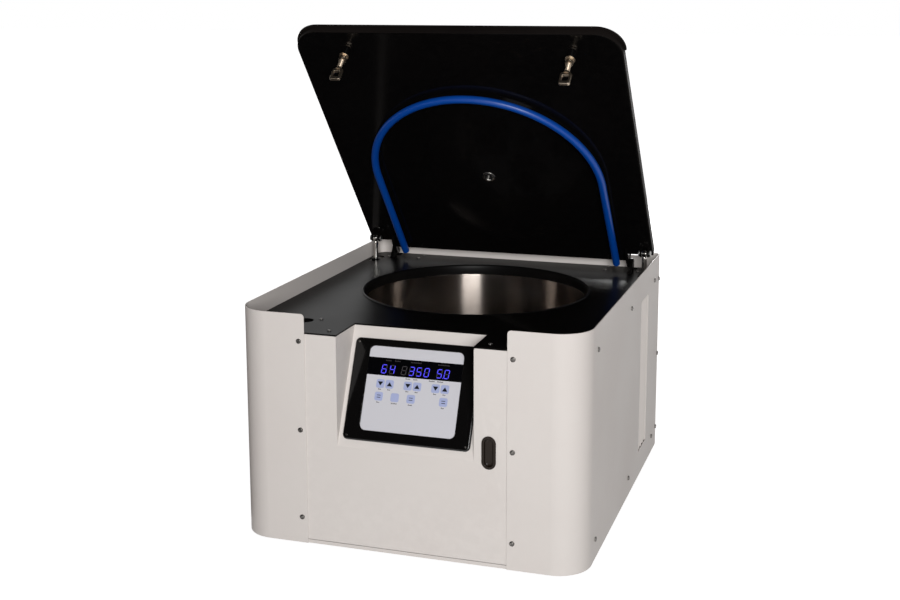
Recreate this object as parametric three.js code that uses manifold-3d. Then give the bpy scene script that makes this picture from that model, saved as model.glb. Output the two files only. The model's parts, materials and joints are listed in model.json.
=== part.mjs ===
// A benchtop centrifuge with its lid held open by two gas struts.
// Millimetres, +X to the right, +Y to the back, +Z up. The origin is on the bench,
// under the middle of the cabinet's width and depth.

import * as THREE from 'three';
import { mergeVertices } from 'three/addons/utils/BufferGeometryUtils.js';
import Module from 'manifold-3d';

const wasm = await Module();
wasm.setup();

// Cabinet sizes
const cabinetWidth = 500;
const cabinetDepth = 570;
const panelHeight = 330;
const footHeight = 8;
const footRadius = 16;
const footInset = 62;
const footWaistShare = 0.82;
const sheet = 1.5;
const plate = 2;
const frontCornerRadius = 47;
const rearCornerRadius = 10;
const frontFlangeGap = 288;
const rearFlangeReach = 26;
const flangeCornerRadius = 5;
const frontPanelOverlap = 22;
const trayWallHeight = 38;
const trayLipHeight = 5;
const lipGap = 1;
const deckDrop = 26;
const deckFlangeHeight = 13;
const deckFlangeInset = 60;
const rearPanelDrop = 5.5;
const rearPanelSideGap = 9;

// Clearances
const touch = 0.3;
const running = 0.3;
const overrun = 5;

// Facets
const bowlSides = 32;
const drumSides = 16;
const pinSides = 10;
const screwSides = 6;
const cornerSteps = 2;

// Pan head screws
const screwHeadRadius = 3.6;
const screwHeadHeight = 2;
const screwEdgeShare = 0.45;
const screwTopShare = 0.62;
const flangeScrewInset = 8;
const sideScrewEdgeGap = 35;
const sideScrewFootGap = 29;
const flangeScrewShares = [0.115, 0.5, 0.884];
const sideScrewShares = [0.122, 0.546, 0.904];
const rearScrewInset = 9;
const rearScrewShares = [0.1, 0.49, 0.878];

// Louvred vent in the right side panel
const ventFrontShare = 0.695;
const ventWidth = 64;
const ventFootGap = 41;
const ventHeadGap = 45;
const slatCount = 4;
const slatThickness = 1.2;
const slatAngle = THREE.MathUtils.degToRad(28);
const slatOverlapShare = 1.02;

// Sloping recess and control panel
const recessHalfWidth = 98;
const recessFootHeight = 147;
const recessTilt = THREE.MathUtils.degToRad(24.4);
const recessCornerRadius = 3;
const recessWindowMargin = 10;
const bezelWidth = 183;
const bezelHeight = 142;
const bezelThickness = 4;
const bezelFootGap = 10.5;
const bezelCornerRadius = 7;
const fasciaWidth = 137;
const fasciaHeight = 117.5;
const fasciaFootGap = 25;
const fasciaCornerRadius = 8;
const fasciaThickness = 1.6;
const fasciaSink = 0.8;
const windowHeight = 24.6;
const windowFootGap = 102;
const windowSideGap = 1.2;
const keySize = 11;
const keyThickness = 1.8;
const keyProud = 0.3;
const keyChamfer = 1;
const keyPitch = 13.4;
const keyGroupPitch = 40;
const upperKeyHeight = 90.5;
const lowerKeyHeight = 73;
const lowerKeyShares = [-1, -0.5, 0, 1];
const keyTravel = 0.5;
const bezelScrewInset = 6;
const bezelScrewRadius = 1.7;
const bezelScrewHeight = 0.8;
const boardThickness = 1.6;
const boardGap = 11;
const boardWidth = 124;
const boardHeight = 104;
const boardPostRadius = 3.5;
const digitBlockHeight = 19;
const digitBlockWidth = 100;
const switchStudRadius = 2.6;

// Release button in its oval escutcheon
const ovalWidth = 20;
const ovalHeight = 46;
const ovalFlangeGap = 25;
const ovalCentreHeight = 160.5;
const ovalRim = 2;
const ovalFlange = 1.2;
const ovalSleeveLength = 15;
const ovalWall = 1.8;
const buttonSink = 2.4;
const buttonLength = 10;

// Deck openings
const notchDepth = 71.5;
const notchSideCover = 0.5;
const strikerHoleRadius = 12;
const deckScrewX = 115.2;
const deckScrewY = 20.6;
const hingeSlotWidth = 11;
const hingeSlotAhead = 20;
const hingeSlotBehind = 29;
const strutSlotWidth = 18;
const strutSlotAhead = 15.5;
const strutSlotBehind = 30.5;

// Bowl, its rubber moulding and the drive
const bowlRearGap = 237;
const bowlRadius = 173;
const bowlWall = 1.2;
const bowlRimDepth = 14.5;
const bowlFlangeReach = 11;
const bowlDepth = 147.5;
const bowlFillet = 22;
const bowlBoreRadius = 32;
const bowlBoreLip = 8;
const mouldingWidth = 2;
const collarWall = 2;
const mouldingShares = [[0, 0.2], [0.18, 0.55], [0.5, 0.86], [0.85, 1]];
const mouldingLip = 3;
const mouldingLipHeight = 1.2;
const plateRadius = 95;
const plateThickness = 4;
const damperRadius = 15;
const damperWaistRadius = 12;
const damperHeight = 30;
const damperCircleRadius = 76;
const damperCount = 3;
const motorRadius = 58;
const motorShoulderRadius = 50;
const motorShoulder = 8;
const motorHeight = 96;
const motorBossRadius = 27;
const motorBossTaperShare = 0.9;
const motorBossHeight = 24;
const spindleRadius = 9.5;
const spindleSeatHeight = 205;
const spindleSeatRadius = 15;
const spindleSeatThickness = 3;
const spindleDepth = 40;
const threadRadius = 6;
const threadLength = 12;

// Swing out rotor
const rotorRadius = 113;
const rotorThickness = 18;
const rotorPocketHalfWidth = 34;
const rotorPocketStart = 38;
const rotorPocketCornerShare = 1 / 3;
const rotorHubRadius = 26;
const rotorHubDrop = 14;
const trunnionRadius = 3.8;
const trunnionCircleRadius = 78;
const bucketRadius = 25;
const bucketWall = 2;
const bucketFloor = 3;
const bucketAbove = 14;
const bucketBelow = 62;
const bucketChamfer = 6;
const earReach = 6;
const earWidth = 13;
const earHeight = 17;
const nutRadius = 13;
const nutHeight = 14;
const nutSides = 6;
const bucketCount = 4;

// Lid, shut, and how far it stands open
const lidOpenAngle = THREE.MathUtils.degToRad(49);
const lidStandoff = 17;
const lidThickness = 13;
const lidSideGap = 4;
const lidFront = 24;
const lidRearGap = 38.5;
const lidCornerRadius = 40;
const lidCutGap = 1;
const lidRearCut = 18;
const noseReach = 2.5;
const noseLength = 39;
const noseThickness = 3.4;
const hingeDrop = 3;
const hingeBehind = 1.5;
const sealRadius = 6;
const sealStandoff = 10.5;
const sealSideGap = 61;
const sealEndGap = 4;
const sealSides = 8;
const sealSteps = 32;
const sealRailWidth = 2;
const portRadius = 8;
const portWall = 1.8;
const portFlangeRadius = 10.5;
const portFlange = 1.4;

// Lock strikers and locks
const strikerSideGap = 79;
const strikerY = 65.5;
const strikerStudRadius = 3;
const strikerBossRadius = 6;
const strikerBossHeight = 7;
const strikerStudLength = 35;
const strikerEyeWidth = 16;
const strikerEyeLength = 22;
const strikerEyeThickness = 5;
const strikerWindowWidth = 10;
const strikerWindowLength = 11;
const strikerNutRadius = 5.6;
const strikerNutHeight = 4.6;
const strikerNutOffsets = [strikerBossHeight + touch, 19];
const lockWidth = 44;
const lockLength = 62;
const lockHeight = 42;
const lockFrontGap = 24;
const boltWidth = 7;
const boltLength = 34;

// Hinges
const hingeSideGap = 41;
const hingePlate = 5;
const hingePinRadius = 3;
const hingeEyeRadius = 7.5;
const hingeFootAhead = 12;
const hingeFootInward = 51;
const hingeFootOutward = 16.5;
const hingeFootThickness = 3.7;
const hingeScrewInset = 6.5;
const hingeScrewAhead = 3;
const hingeScrewBehind = 26;
const lugThickness = 4.7;
const lugLength = 34;
const lugDepth = 9;

// Gas struts
const strutSideGap = 16;
const strutFootBehind = 0.5;
const strutFootHeight = 120;
const strutPinSetback = 32;
const strutPinDrop = 7.6;
const strutPinRadius = 2.5;
const strutPinHeadRadius = 5;
const strutPinHead = 2.2;
const strutEyeRadius = 6.4;
const strutEyeThickness = 6;
const strutEyeSlack = 1.9;
const strutCheek = 3;
const strutCheekGap = 9;
const strutCheekRadius = 6;
const strutBodyRadius = 7.5;
const strutRodRadius = 4;
const strutRodHidden = 30;
const strutBoreDepth = 62;
const strutFootEyeRadius = 9;
const strutStudRadius = 4;
const strutStudPlate = 26;

// Rear panel fittings
const fanPlaceShare = -0.24;
const fanHeight = 105;
const fanSize = 92;
const fanDepth = 25;
const fanBoreRadius = 43;
const fanHubRadius = 18;
const fanHubDepth = 16;
const fanBladeRadius = 40.5;
const fanBladeThickness = 1.8;
const fanBladeChord = 17;
const fanBladeCount = 7;
const fanBladeAngle = THREE.MathUtils.degToRad(40);
const fanSpokeWidth = 5;
const fanSpokeDepth = 4;
const fanMotorRadius = 17;
const fanMotorDepth = 5;
const fanSlotCount = 9;
const fanSlotHeight = 4;
const entryPlaceShare = 0.3;
const entryHeight = 66;
const entryWidth = 58;
const entryTall = 30;
const entryFlange = 1.5;
const entryMargin = 4;
const entryDepth = 30;
const inletWidth = 25;
const inletTall = 17;
const inletDepth = 18;
const inletShare = 0.2;
const inletPinWidth = 2;
const inletPinTall = 5;
const inletPinPitch = 7;
const rockerShare = -0.27;
const rockerWidth = 13;
const rockerTall = 21;
const rockerDepth = 9;
const rockerPocketDepth = 12;
const rockerTilt = THREE.MathUtils.degToRad(7);
const rockerRise = 0.4;
const rockerFootShare = 0.5;

// Power board
const powerBoardWidth = 110;
const powerBoardLength = 230;
const powerBoardSideGap = 72;
const powerBoardPlaceShare = 0.56;
const powerPostHeight = 12;
const powerPostRadius = 4;
const powerPostInset = 8;
const coilSize = 46;
const coilHeight = 40;
const capacitorRadius = 11;
const capacitorHeight = 32;
const capacitorCount = 3;
const capacitorPitch = 26.4;

// Places worked out from the sizes
const halfWidth = cabinetWidth / 2;
const originY = cabinetDepth / 2;
const insideHalfWidth = halfWidth - sheet;
const hingeX = halfWidth - hingeSideGap;
const strutX = halfWidth - strutSideGap;
const strikerX = halfWidth - strikerSideGap;
const lidHalfWidth = halfWidth - lidSideGap;
const lidRearCutHalfWidth = hingeX - hingePlate / 2 - lidCutGap;
const sealBend = lidHalfWidth - sealSideGap;
const bowlCentreY = cabinetDepth - bowlRearGap;
const deckHoleRadius = bowlRadius + mouldingWidth;
const ventHeight = panelHeight - ventFootGap - ventHeadGap;
const ovalCentreX = frontFlangeGap / 2 - ovalFlangeGap;
const fanX = fanPlaceShare * cabinetWidth;
const entryX = entryPlaceShare * cabinetWidth;
const powerBoardX = powerBoardSideGap - halfWidth;
const powerBoardY = powerBoardPlaceShare * cabinetDepth;
const cabinetBase = footHeight;
const panelTop = cabinetBase + panelHeight;
const deckTop = panelTop - deckDrop;
const deckUnder = deckTop - plate;
const trayFloorTop = cabinetBase + plate;
const rearPanelOuter = cabinetDepth - sheet - touch;
const rearPanelInner = rearPanelOuter - sheet;
const trayRear = rearPanelInner - touch;
const frontPanelOuter = sheet + touch;
const frontPanelInner = frontPanelOuter + sheet;
const frontPanelTop = deckUnder - touch;
const frontPanelFoot = cabinetBase + trayLipHeight + lipGap;
const recessFootZ = cabinetBase + recessFootHeight;
const recessLength = (frontPanelTop - recessFootZ) / Math.cos(recessTilt);
const recessRearY = frontPanelOuter + recessLength * Math.sin(recessTilt);
const bowlRimTop = deckTop - bowlRimDepth;
const bowlFloorZ = bowlRimTop - bowlDepth;
const rotorTop = spindleSeatHeight + spindleSeatThickness + touch + rotorHubDrop + rotorThickness;
const trunnionZ = rotorTop - rotorThickness / 2;
const lidUnder = deckTop + lidStandoff;
const lidTop = lidUnder + lidThickness;
const lidRearY = cabinetDepth - lidRearGap;
const hingeY = lidRearY + hingeBehind;
const hingeZ = lidUnder - hingeDrop;
const strutPinY = lidRearY - strutPinSetback;
const strutPinZ = lidUnder - strutPinDrop;
const strutFootY = strutPinY + strutFootBehind;
const strikerEyeCentreZ = lidUnder - strikerStudLength - strikerEyeLength / 2;

// Finishes
const finishes = {
  cabinetPaint: { color: 0xd7d0ca, roughness: 0.45, metalness: 0 },
  blackPaint: { color: 0x0d0c0d, roughness: 0.4, metalness: 0 },
  blackGloss: { color: 0x060606, roughness: 0.12, metalness: 0 },
  stainless: { color: 0xb9b6b0, roughness: 0.3, metalness: 1 },
  chrome: { color: 0xd6d4d0, roughness: 0.12, metalness: 1 },
  zinc: { color: 0xa7a6a3, roughness: 0.4, metalness: 1 },
  rubber: { color: 0x121212, roughness: 0.8, metalness: 0 },
  blueTube: { color: 0x0052a5, roughness: 0.25, metalness: 0 },
  fascia: { color: 0xc8c8cf, roughness: 0.45, metalness: 0 },
  keyPrint: { color: 0xaab2d2, roughness: 0.4, metalness: 0 },
  darkWindow: { color: 0x08080a, roughness: 0.1, metalness: 0 },
  blackPlastic: { color: 0x161616, roughness: 0.5, metalness: 0 },
  circuitBoard: { color: 0x1d4a2c, roughness: 0.6, metalness: 0 },
  castAluminium: { color: 0x9c9da0, roughness: 0.5, metalness: 1 },
};
const materials = Object.fromEntries(
  Object.entries(finishes).map(([name, values]) => [name, new THREE.MeshStandardMaterial(values)]),
);

// Solids from three.js geometry

// Six times the signed volume of a triangle list, whose sign tells which way its faces point.
function facesPointIn(positions, triangles) {
  const a = new THREE.Vector3();
  const b = new THREE.Vector3();
  const c = new THREE.Vector3();
  let sum = 0;
  for (let i = 0; i < triangles.length; i += 3) {
    a.fromArray(positions, 3 * triangles[i]);
    b.fromArray(positions, 3 * triangles[i + 1]);
    c.fromArray(positions, 3 * triangles[i + 2]);
    sum += a.dot(b.cross(c));
  }
  return sum < 0;
}

function solid(geometry) {
  const bare = geometry.clone();
  bare.deleteAttribute('normal');
  bare.deleteAttribute('uv');
  const welded = mergeVertices(bare);
  const positions = welded.attributes.position.array;
  const corners = welded.index.array;
  const kept = [];
  for (let i = 0; i < corners.length; i += 3) {
    const [a, b, c] = [corners[i], corners[i + 1], corners[i + 2]];
    if (a !== b && b !== c && c !== a) kept.push(a, b, c);
  }
  if (facesPointIn(positions, kept)) kept.reverse();
  return new wasm.Manifold(new wasm.Mesh({
    numProp: 3,
    vertProperties: Float32Array.from(positions),
    triVerts: Uint32Array.from(kept),
  }));
}

function geometryOf(body) {
  const mesh = body.getMesh();
  const geometry = new THREE.BufferGeometry();
  geometry.setAttribute('position', new THREE.BufferAttribute(mesh.vertProperties, 3));
  geometry.setIndex(new THREE.BufferAttribute(mesh.triVerts, 1));
  geometry.computeVertexNormals();
  return geometry;
}

function join(...bodies) {
  return bodies.reduce((whole, body) => whole.add(body));
}

function cut(body, ...tools) {
  return tools.reduce((rest, tool) => rest.subtract(tool), body);
}

function mirrorX(body, side) {
  if (side > 0) return body;
  return solid(geometryOf(body).scale(-1, 1, 1));
}

// A box between two corners.
function block(x0, x1, y0, y1, z0, z1) {
  const geometry = new THREE.BoxGeometry(x1 - x0, y1 - y0, z1 - z0);
  geometry.translate((x0 + x1) / 2, (y0 + y1) / 2, (z0 + z1) / 2);
  return solid(geometry);
}

// A cylinder along 'x', 'y' or 'z' from one station to another; across gives its other two
// coordinates in X, Y, Z order.
function rod(axis, radius, from, to, across, sides = pinSides) {
  const geometry = new THREE.CylinderGeometry(radius, radius, to - from, sides);
  const middle = (from + to) / 2;
  if (axis === 'x') geometry.rotateZ(Math.PI / 2).translate(middle, across[0], across[1]);
  if (axis === 'y') geometry.translate(across[0], middle, across[1]);
  if (axis === 'z') geometry.rotateX(Math.PI / 2).translate(across[0], across[1], middle);
  return solid(geometry);
}

// A profile of [radius, height] points turned about a vertical axis through x, y.
function turned(profile, x, y, sides) {
  const points = profile.map(([radius, height]) => new THREE.Vector2(radius, height));
  const geometry = new THREE.LatheGeometry(points, sides);
  geometry.rotateX(Math.PI / 2).translate(x, y, 0);
  return solid(geometry);
}

// A plan outline raised from one height to another.
function raised(outline, from, to, steps = cornerSteps) {
  const options = { depth: to - from, bevelEnabled: false, curveSegments: steps };
  const geometry = new THREE.ExtrudeGeometry(outline, options);
  geometry.translate(0, 0, from);
  return solid(geometry);
}

// An outline drawn in Y and Z, pushed along X from one station to another.
function pushedX(outline, from, to, steps = cornerSteps) {
  const options = { depth: to - from, bevelEnabled: false, curveSegments: steps };
  const geometry = new THREE.ExtrudeGeometry(outline, options);
  geometry.rotateY(Math.PI / 2).rotateX(Math.PI / 2).translate(from, 0, 0);
  return solid(geometry);
}

// An outline drawn in X and Z, pushed along Y from one station to another.
function pushedY(outline, from, to, steps = cornerSteps) {
  const options = { depth: to - from, bevelEnabled: false, curveSegments: steps };
  const geometry = new THREE.ExtrudeGeometry(outline, options);
  geometry.rotateX(Math.PI / 2).translate(0, to, 0);
  return solid(geometry);
}

function roundedRectangle(centreX, centreY, width, height, radius) {
  const x = width / 2 - radius;
  const y = height / 2 - radius;
  const outline = new THREE.Shape();
  outline.absarc(centreX + x, centreY + y, radius, 0, Math.PI / 2, false);
  outline.absarc(centreX - x, centreY + y, radius, Math.PI / 2, Math.PI, false);
  outline.absarc(centreX - x, centreY - y, radius, Math.PI, 1.5 * Math.PI, false);
  outline.absarc(centreX + x, centreY - y, radius, 1.5 * Math.PI, 2 * Math.PI, false);
  outline.closePath();
  return outline;
}

// An upright slot outline with round ends.
function obround(centreX, centreY, width, height) {
  const radius = width / 2;
  const straight = height / 2 - radius;
  const outline = new THREE.Shape();
  outline.absarc(centreX, centreY + straight, radius, 0, Math.PI, false);
  outline.absarc(centreX, centreY - straight, radius, Math.PI, 2 * Math.PI, false);
  outline.closePath();
  return outline;
}

function polygon(points) {
  return new THREE.Shape(points.map(([x, y]) => new THREE.Vector2(x, y)));
}

// The model and its turned frames

const centrifuge = new THREE.Group();
const cabinet = new THREE.Group();
cabinet.position.set(0, -originY, 0);
centrifuge.add(cabinet);

function place(parent, name, material, body) {
  const mesh = new THREE.Mesh(geometryOf(body), materials[material]);
  mesh.name = name;
  parent.add(mesh);
}

const sides = [['left', -1], ['right', 1]];

// Pan head screws: a head is made standing on the XY plane, turned and joined to its panel

function screwHead(direction, x, y, z, headRadius = screwHeadRadius, headHeight = screwHeadHeight) {
  const profile = [
    [0, -touch],
    [headRadius, -touch],
    [headRadius, headHeight * screwEdgeShare],
    [headRadius * screwTopShare, headHeight],
    [0, headHeight],
  ];
  const points = profile.map(([radius, height]) => new THREE.Vector2(radius, height));
  const geometry = new THREE.LatheGeometry(points, screwSides).rotateX(Math.PI / 2);
  if (direction === 'front') geometry.rotateX(Math.PI / 2);
  if (direction === 'rear') geometry.rotateX(-Math.PI / 2);
  if (direction === 'left') geometry.rotateY(-Math.PI / 2);
  if (direction === 'right') geometry.rotateY(Math.PI / 2);
  return solid(geometry.translate(x, y, z));
}

function panelScrewPlaces() {
  const low = cabinetBase + sideScrewFootGap;
  const high = panelTop - sideScrewEdgeGap;
  const rows = sideScrewShares.flatMap((share) => [low, high].map((z) => [share * cabinetDepth, z]));
  const rearY = cabinetDepth - rearScrewInset - rearCornerRadius / 2;
  rearScrewShares.forEach((share) => rows.push([rearY, cabinetBase + share * panelHeight]));
  const frontX = frontFlangeGap / 2 + flangeScrewInset;
  const rearX = halfWidth - rearFlangeReach + flangeScrewInset;
  const levels = flangeScrewShares.map((share) => cabinetBase + share * panelHeight);
  return [
    ...rows.map(([y, z]) => ['right', halfWidth, y, z]),
    ...levels.map((z) => ['front', frontX, 0, z]),
    ...levels.map((z) => ['rear', rearX, cabinetDepth, z]),
  ];
}

function deckScrewPlaces(side) {
  const lockScrewX = strikerX - lockWidth / 2 + flangeCornerRadius / 2;
  const innerX = hingeX - hingeFootInward + hingeScrewInset;
  const outerX = hingeX + hingeFootOutward - hingeScrewInset;
  const frontY = hingeY - hingeScrewAhead;
  const rearY = hingeY + hingeScrewBehind;
  const places = [
    [lockScrewX, strikerY + strikerHoleRadius],
    [deckScrewX, deckScrewY],
    [innerX, frontY],
    [innerX, rearY],
    [outerX, frontY],
    [outerX, rearY],
  ];
  return places.map(([x, y]) => ['up', side * x, y, deckTop]);
}

// Cabinet

// Plan outline that fits inside the side panels, smaller by inset.
function insideOutline(inset, rear) {
  const half = insideHalfWidth - inset;
  const front = sheet + inset;
  const radius = frontCornerRadius - sheet - inset;
  const outline = new THREE.Shape();
  outline.moveTo(half, rear - rearCornerRadius);
  outline.lineTo(half - rearCornerRadius, rear);
  outline.lineTo(-half + rearCornerRadius, rear);
  outline.lineTo(-half, rear - rearCornerRadius);
  outline.lineTo(-half, front + radius);
  outline.absarc(-half + radius, front + radius, radius, Math.PI, 1.5 * Math.PI, false);
  outline.absarc(half - radius, front + radius, radius, 1.5 * Math.PI, 2 * Math.PI, false);
  outline.closePath();
  return outline;
}

function baseTray() {
  const steps = 2 * cornerSteps;
  const wallTop = cabinetBase + trayWallHeight;
  const shell = raised(insideOutline(touch, trayRear), cabinetBase, wallTop, steps);
  const inside = insideOutline(touch + sheet, trayRear - sheet);
  const hollow = raised(inside, trayFloorTop, wallTop + overrun, steps);
  const lipTop = cabinetBase + trayLipHeight;
  const frontCut = block(-halfWidth, halfWidth, -overrun, frontCornerRadius, lipTop, wallTop + overrun);
  return cut(shell, hollow, frontCut);
}

// Plan section of a side panel: front flange, large corner, flat side, small corner, rear flange.
function sidePanelSection() {
  const flangeX = frontFlangeGap / 2;
  const frontX = halfWidth - frontCornerRadius;
  const rearX = halfWidth - rearCornerRadius;
  const rearY = cabinetDepth - rearCornerRadius;
  const rearEndX = halfWidth - rearFlangeReach;
  const frontInner = frontCornerRadius - sheet;
  const rearInner = rearCornerRadius - sheet;
  const outline = new THREE.Shape();
  outline.moveTo(flangeX, 0);
  outline.lineTo(frontX, 0);
  outline.absarc(frontX, frontCornerRadius, frontCornerRadius, 1.5 * Math.PI, 2 * Math.PI, false);
  outline.absarc(rearX, rearY, rearCornerRadius, 0, Math.PI / 2, false);
  outline.lineTo(rearEndX, cabinetDepth);
  outline.lineTo(rearEndX, cabinetDepth - sheet);
  outline.absarc(rearX, rearY, rearInner, Math.PI / 2, 0, true);
  outline.absarc(frontX, frontCornerRadius, frontInner, 2 * Math.PI, 1.5 * Math.PI, true);
  outline.lineTo(flangeX, sheet);
  outline.closePath();
  return outline;
}

// The top inner corner of the front flange is rounded.
function flangeCornerCut() {
  const flangeX = frontFlangeGap / 2;
  const corner = new THREE.Shape();
  corner.moveTo(flangeX - overrun, panelTop + overrun);
  corner.lineTo(flangeX - overrun, panelTop - flangeCornerRadius);
  corner.lineTo(flangeX, panelTop - flangeCornerRadius);
  const x = flangeX + flangeCornerRadius;
  corner.absarc(x, panelTop - flangeCornerRadius, flangeCornerRadius, Math.PI, Math.PI / 2, true);
  corner.lineTo(x, panelTop + overrun);
  corner.closePath();
  return pushedY(corner, -overrun, sheet + overrun);
}

// Upright slats that face the front, in a window cut through the panel.
function louvre(panel) {
  const front = ventFrontShare * cabinetDepth;
  const foot = cabinetBase + ventFootGap;
  const x0 = insideHalfWidth - overrun;
  const window = block(x0, halfWidth + overrun, front, front + ventWidth, foot, foot + ventHeight);
  const pitch = ventWidth / slatCount;
  const chord = (pitch * slatOverlapShare) / Math.cos(slatAngle);
  let vented = cut(panel, window);
  for (let i = 0; i < slatCount; i += 1) {
    const slat = new THREE.BoxGeometry(slatThickness, chord, ventHeight + sheet);
    slat.rotateZ(slatAngle);
    const x = insideHalfWidth - (pitch * Math.tan(slatAngle)) / 2;
    slat.translate(x, front + (i + 0.5) * pitch, foot + ventHeight / 2);
    vented = vented.add(solid(slat));
  }
  return vented;
}

// The foot of a gas strut turns on a stud welded to the side panel.
function strutStud() {
  const z = cabinetBase + strutFootHeight;
  const half = strutStudPlate / 2;
  const x = insideHalfWidth - plate;
  const pad = block(x, insideHalfWidth, strutFootY - half, strutFootY + half, z - half, z + half);
  const reach = strutX - strutBodyRadius - touch;
  return pad.add(rod('x', strutStudRadius, reach, insideHalfWidth, [strutFootY, z]));
}

function sidePanel(side) {
  const steps = 2 * cornerSteps;
  let panel = cut(raised(sidePanelSection(), cabinetBase, panelTop, steps), flangeCornerCut());
  if (side > 0) panel = louvre(panel);
  const heads = panelScrewPlaces().map((spot) => screwHead(...spot));
  return mirrorX(join(panel, strutStud(), ...heads), side);
}

// Matrix from the sloping panel's own frame (X across, Y up the slope, Z out) to the cabinet's.
const slope = new THREE.Matrix4()
  .makeTranslation(0, frontPanelOuter, recessFootZ)
  .multiply(new THREE.Matrix4().makeRotationX(Math.PI / 2 - recessTilt));

function slopingPlate() {
  const foot = fasciaFootGap + recessWindowMargin;
  const head = fasciaFootGap + fasciaHeight - recessWindowMargin / 2;
  const half = fasciaWidth / 2 - recessWindowMargin / 2;
  const edge = recessHalfWidth + sheet / 2;
  const outline = polygon([
    [-edge, -sheet],
    [edge, -sheet],
    [edge, recessLength + sheet],
    [-edge, recessLength + sheet],
  ]);
  outline.holes.push(roundedRectangle(0, (foot + head) / 2, 2 * half, head - foot, recessCornerRadius));
  const options = { depth: sheet, bevelEnabled: false, curveSegments: cornerSteps };
  const geometry = new THREE.ExtrudeGeometry(outline, options).translate(0, 0, -sheet);
  return solid(geometry.applyMatrix4(slope));
}

function frontPanel() {
  const half = frontFlangeGap / 2 + frontPanelOverlap;
  const corner = recessCornerRadius;
  const outline = new THREE.Shape();
  outline.moveTo(-half, frontPanelFoot);
  outline.lineTo(half, frontPanelFoot);
  outline.lineTo(half, frontPanelTop);
  outline.absarc(recessHalfWidth + corner, frontPanelTop - corner, corner, Math.PI / 2, Math.PI, false);
  outline.lineTo(recessHalfWidth, recessFootZ);
  outline.lineTo(-recessHalfWidth, recessFootZ);
  outline.absarc(-recessHalfWidth - corner, frontPanelTop - corner, corner, 0, Math.PI / 2, false);
  outline.lineTo(-half, frontPanelTop);
  outline.closePath();
  const face = pushedY(outline, frontPanelOuter, frontPanelInner);
  const cheekFront = frontPanelOuter + touch;
  const cheekTop = frontPanelTop - touch;
  const cheek = polygon([
    [cheekFront, recessFootZ],
    [frontPanelOuter + sheet, recessFootZ],
    [recessRearY + sheet / 2, cheekTop],
    [cheekFront + corner, cheekTop],
    [cheekFront, cheekTop - corner],
  ]);
  const cheeks = [-1, 1].map((side) => {
    const x = side * recessHalfWidth + (side < 0 ? -sheet : 0);
    return pushedX(cheek, x, x + sheet);
  });
  const room = block(-halfWidth, halfWidth, cheekFront, cabinetDepth, cabinetBase, frontPanelTop);
  const sloping = slopingPlate().intersect(room);
  const holeWidth = ovalWidth - 2 * ovalRim;
  const holeHeight = ovalHeight - 2 * ovalRim;
  const hole = obround(ovalCentreX, cabinetBase + ovalCentreHeight, holeWidth, holeHeight);
  const ovalHole = pushedY(hole, -overrun, frontPanelInner + overrun, 2 * cornerSteps);
  return cut(join(face, ...cheeks, sloping), ovalHole);
}

function rearPanel() {
  const half = halfWidth - rearPanelSideGap - rearCornerRadius / 2;
  const top = panelTop - rearPanelDrop;
  let panel = block(-half, half, rearPanelInner, rearPanelOuter, trayFloorTop + touch, top);
  const z = cabinetBase + entryHeight;
  const w = entryWidth / 2 - entryMargin;
  const h = entryTall / 2 - entryMargin;
  const y0 = rearPanelInner - overrun;
  const y1 = rearPanelOuter + overrun;
  panel = cut(panel, block(entryX - w, entryX + w, y0, y1, z - h, z + h));
  const pitch = (2 * fanBoreRadius) / fanSlotCount;
  for (let i = 0; i < fanSlotCount; i += 1) {
    const offset = (i + 0.5) * pitch - fanBoreRadius;
    const reach = Math.sqrt(fanBoreRadius ** 2 - offset ** 2) - fanSlotHeight / 2;
    const slotZ = cabinetBase + fanHeight + offset;
    const low = slotZ - fanSlotHeight / 2;
    const high = slotZ + fanSlotHeight / 2;
    panel = cut(panel, block(fanX - reach, fanX + reach, y0, y1, low, high));
  }
  return panel;
}

function deck() {
  const inset = touch + touch / 3;
  const steps = 2 * cornerSteps;
  let body = raised(insideOutline(inset, trayRear), deckUnder, deckTop, steps);
  const edge = insideHalfWidth - inset;
  const flangeRear = trayRear - deckFlangeInset;
  for (const side of [-1, 1]) {
    const x0 = Math.min(side * edge, side * (edge - sheet));
    const flangeFoot = deckUnder - deckFlangeHeight;
    body = body.add(block(x0, x0 + sheet, deckFlangeInset, flangeRear, flangeFoot, deckTop));
  }
  const centre = [0, bowlCentreY];
  const collarRadius = deckHoleRadius + collarWall;
  const collar = rod('z', collarRadius, bowlRimTop + touch, deckTop, centre, bowlSides);
  const bore = rod('z', deckHoleRadius, bowlRimTop - overrun, deckTop + overrun, centre, bowlSides);
  body = cut(body.add(collar), bore);
  const notchHalf = recessHalfWidth - notchSideCover;
  const low = deckUnder - overrun;
  const high = deckTop + overrun;
  body = cut(body, block(-notchHalf, notchHalf, -overrun, notchDepth, low, high));
  for (const side of [-1, 1]) {
    const hingeSlotY = hingeY + (hingeSlotBehind - hingeSlotAhead) / 2;
    const strutSlotY = strutPinY + (strutSlotBehind - strutSlotAhead) / 2;
    const hingeSlotLength = hingeSlotAhead + hingeSlotBehind;
    const strutSlotLength = strutSlotAhead + strutSlotBehind;
    const hingeSlot = obround(side * hingeX, hingeSlotY, hingeSlotWidth, hingeSlotLength);
    const strutSlot = obround(side * strutX, strutSlotY, strutSlotWidth, strutSlotLength);
    const strikerHole = rod('z', strikerHoleRadius, low, high, [side * strikerX, strikerY], drumSides);
    body = cut(body, raised(hingeSlot, low, high), raised(strutSlot, low, high), strikerHole);
    body = join(body, ...deckScrewPlaces(side).map((spot) => screwHead(...spot)));
  }
  return body;
}

function foot(side, end) {
  const waist = footRadius * footWaistShare;
  const y = end < 0 ? footInset : cabinetDepth - footInset;
  return turned([
    [0, 0],
    [footRadius, 0],
    [footRadius, footHeight / 4],
    [waist, cabinetBase - touch],
    [0, cabinetBase - touch],
  ], side * (halfWidth - footInset), y, drumSides / 2);
}

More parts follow.
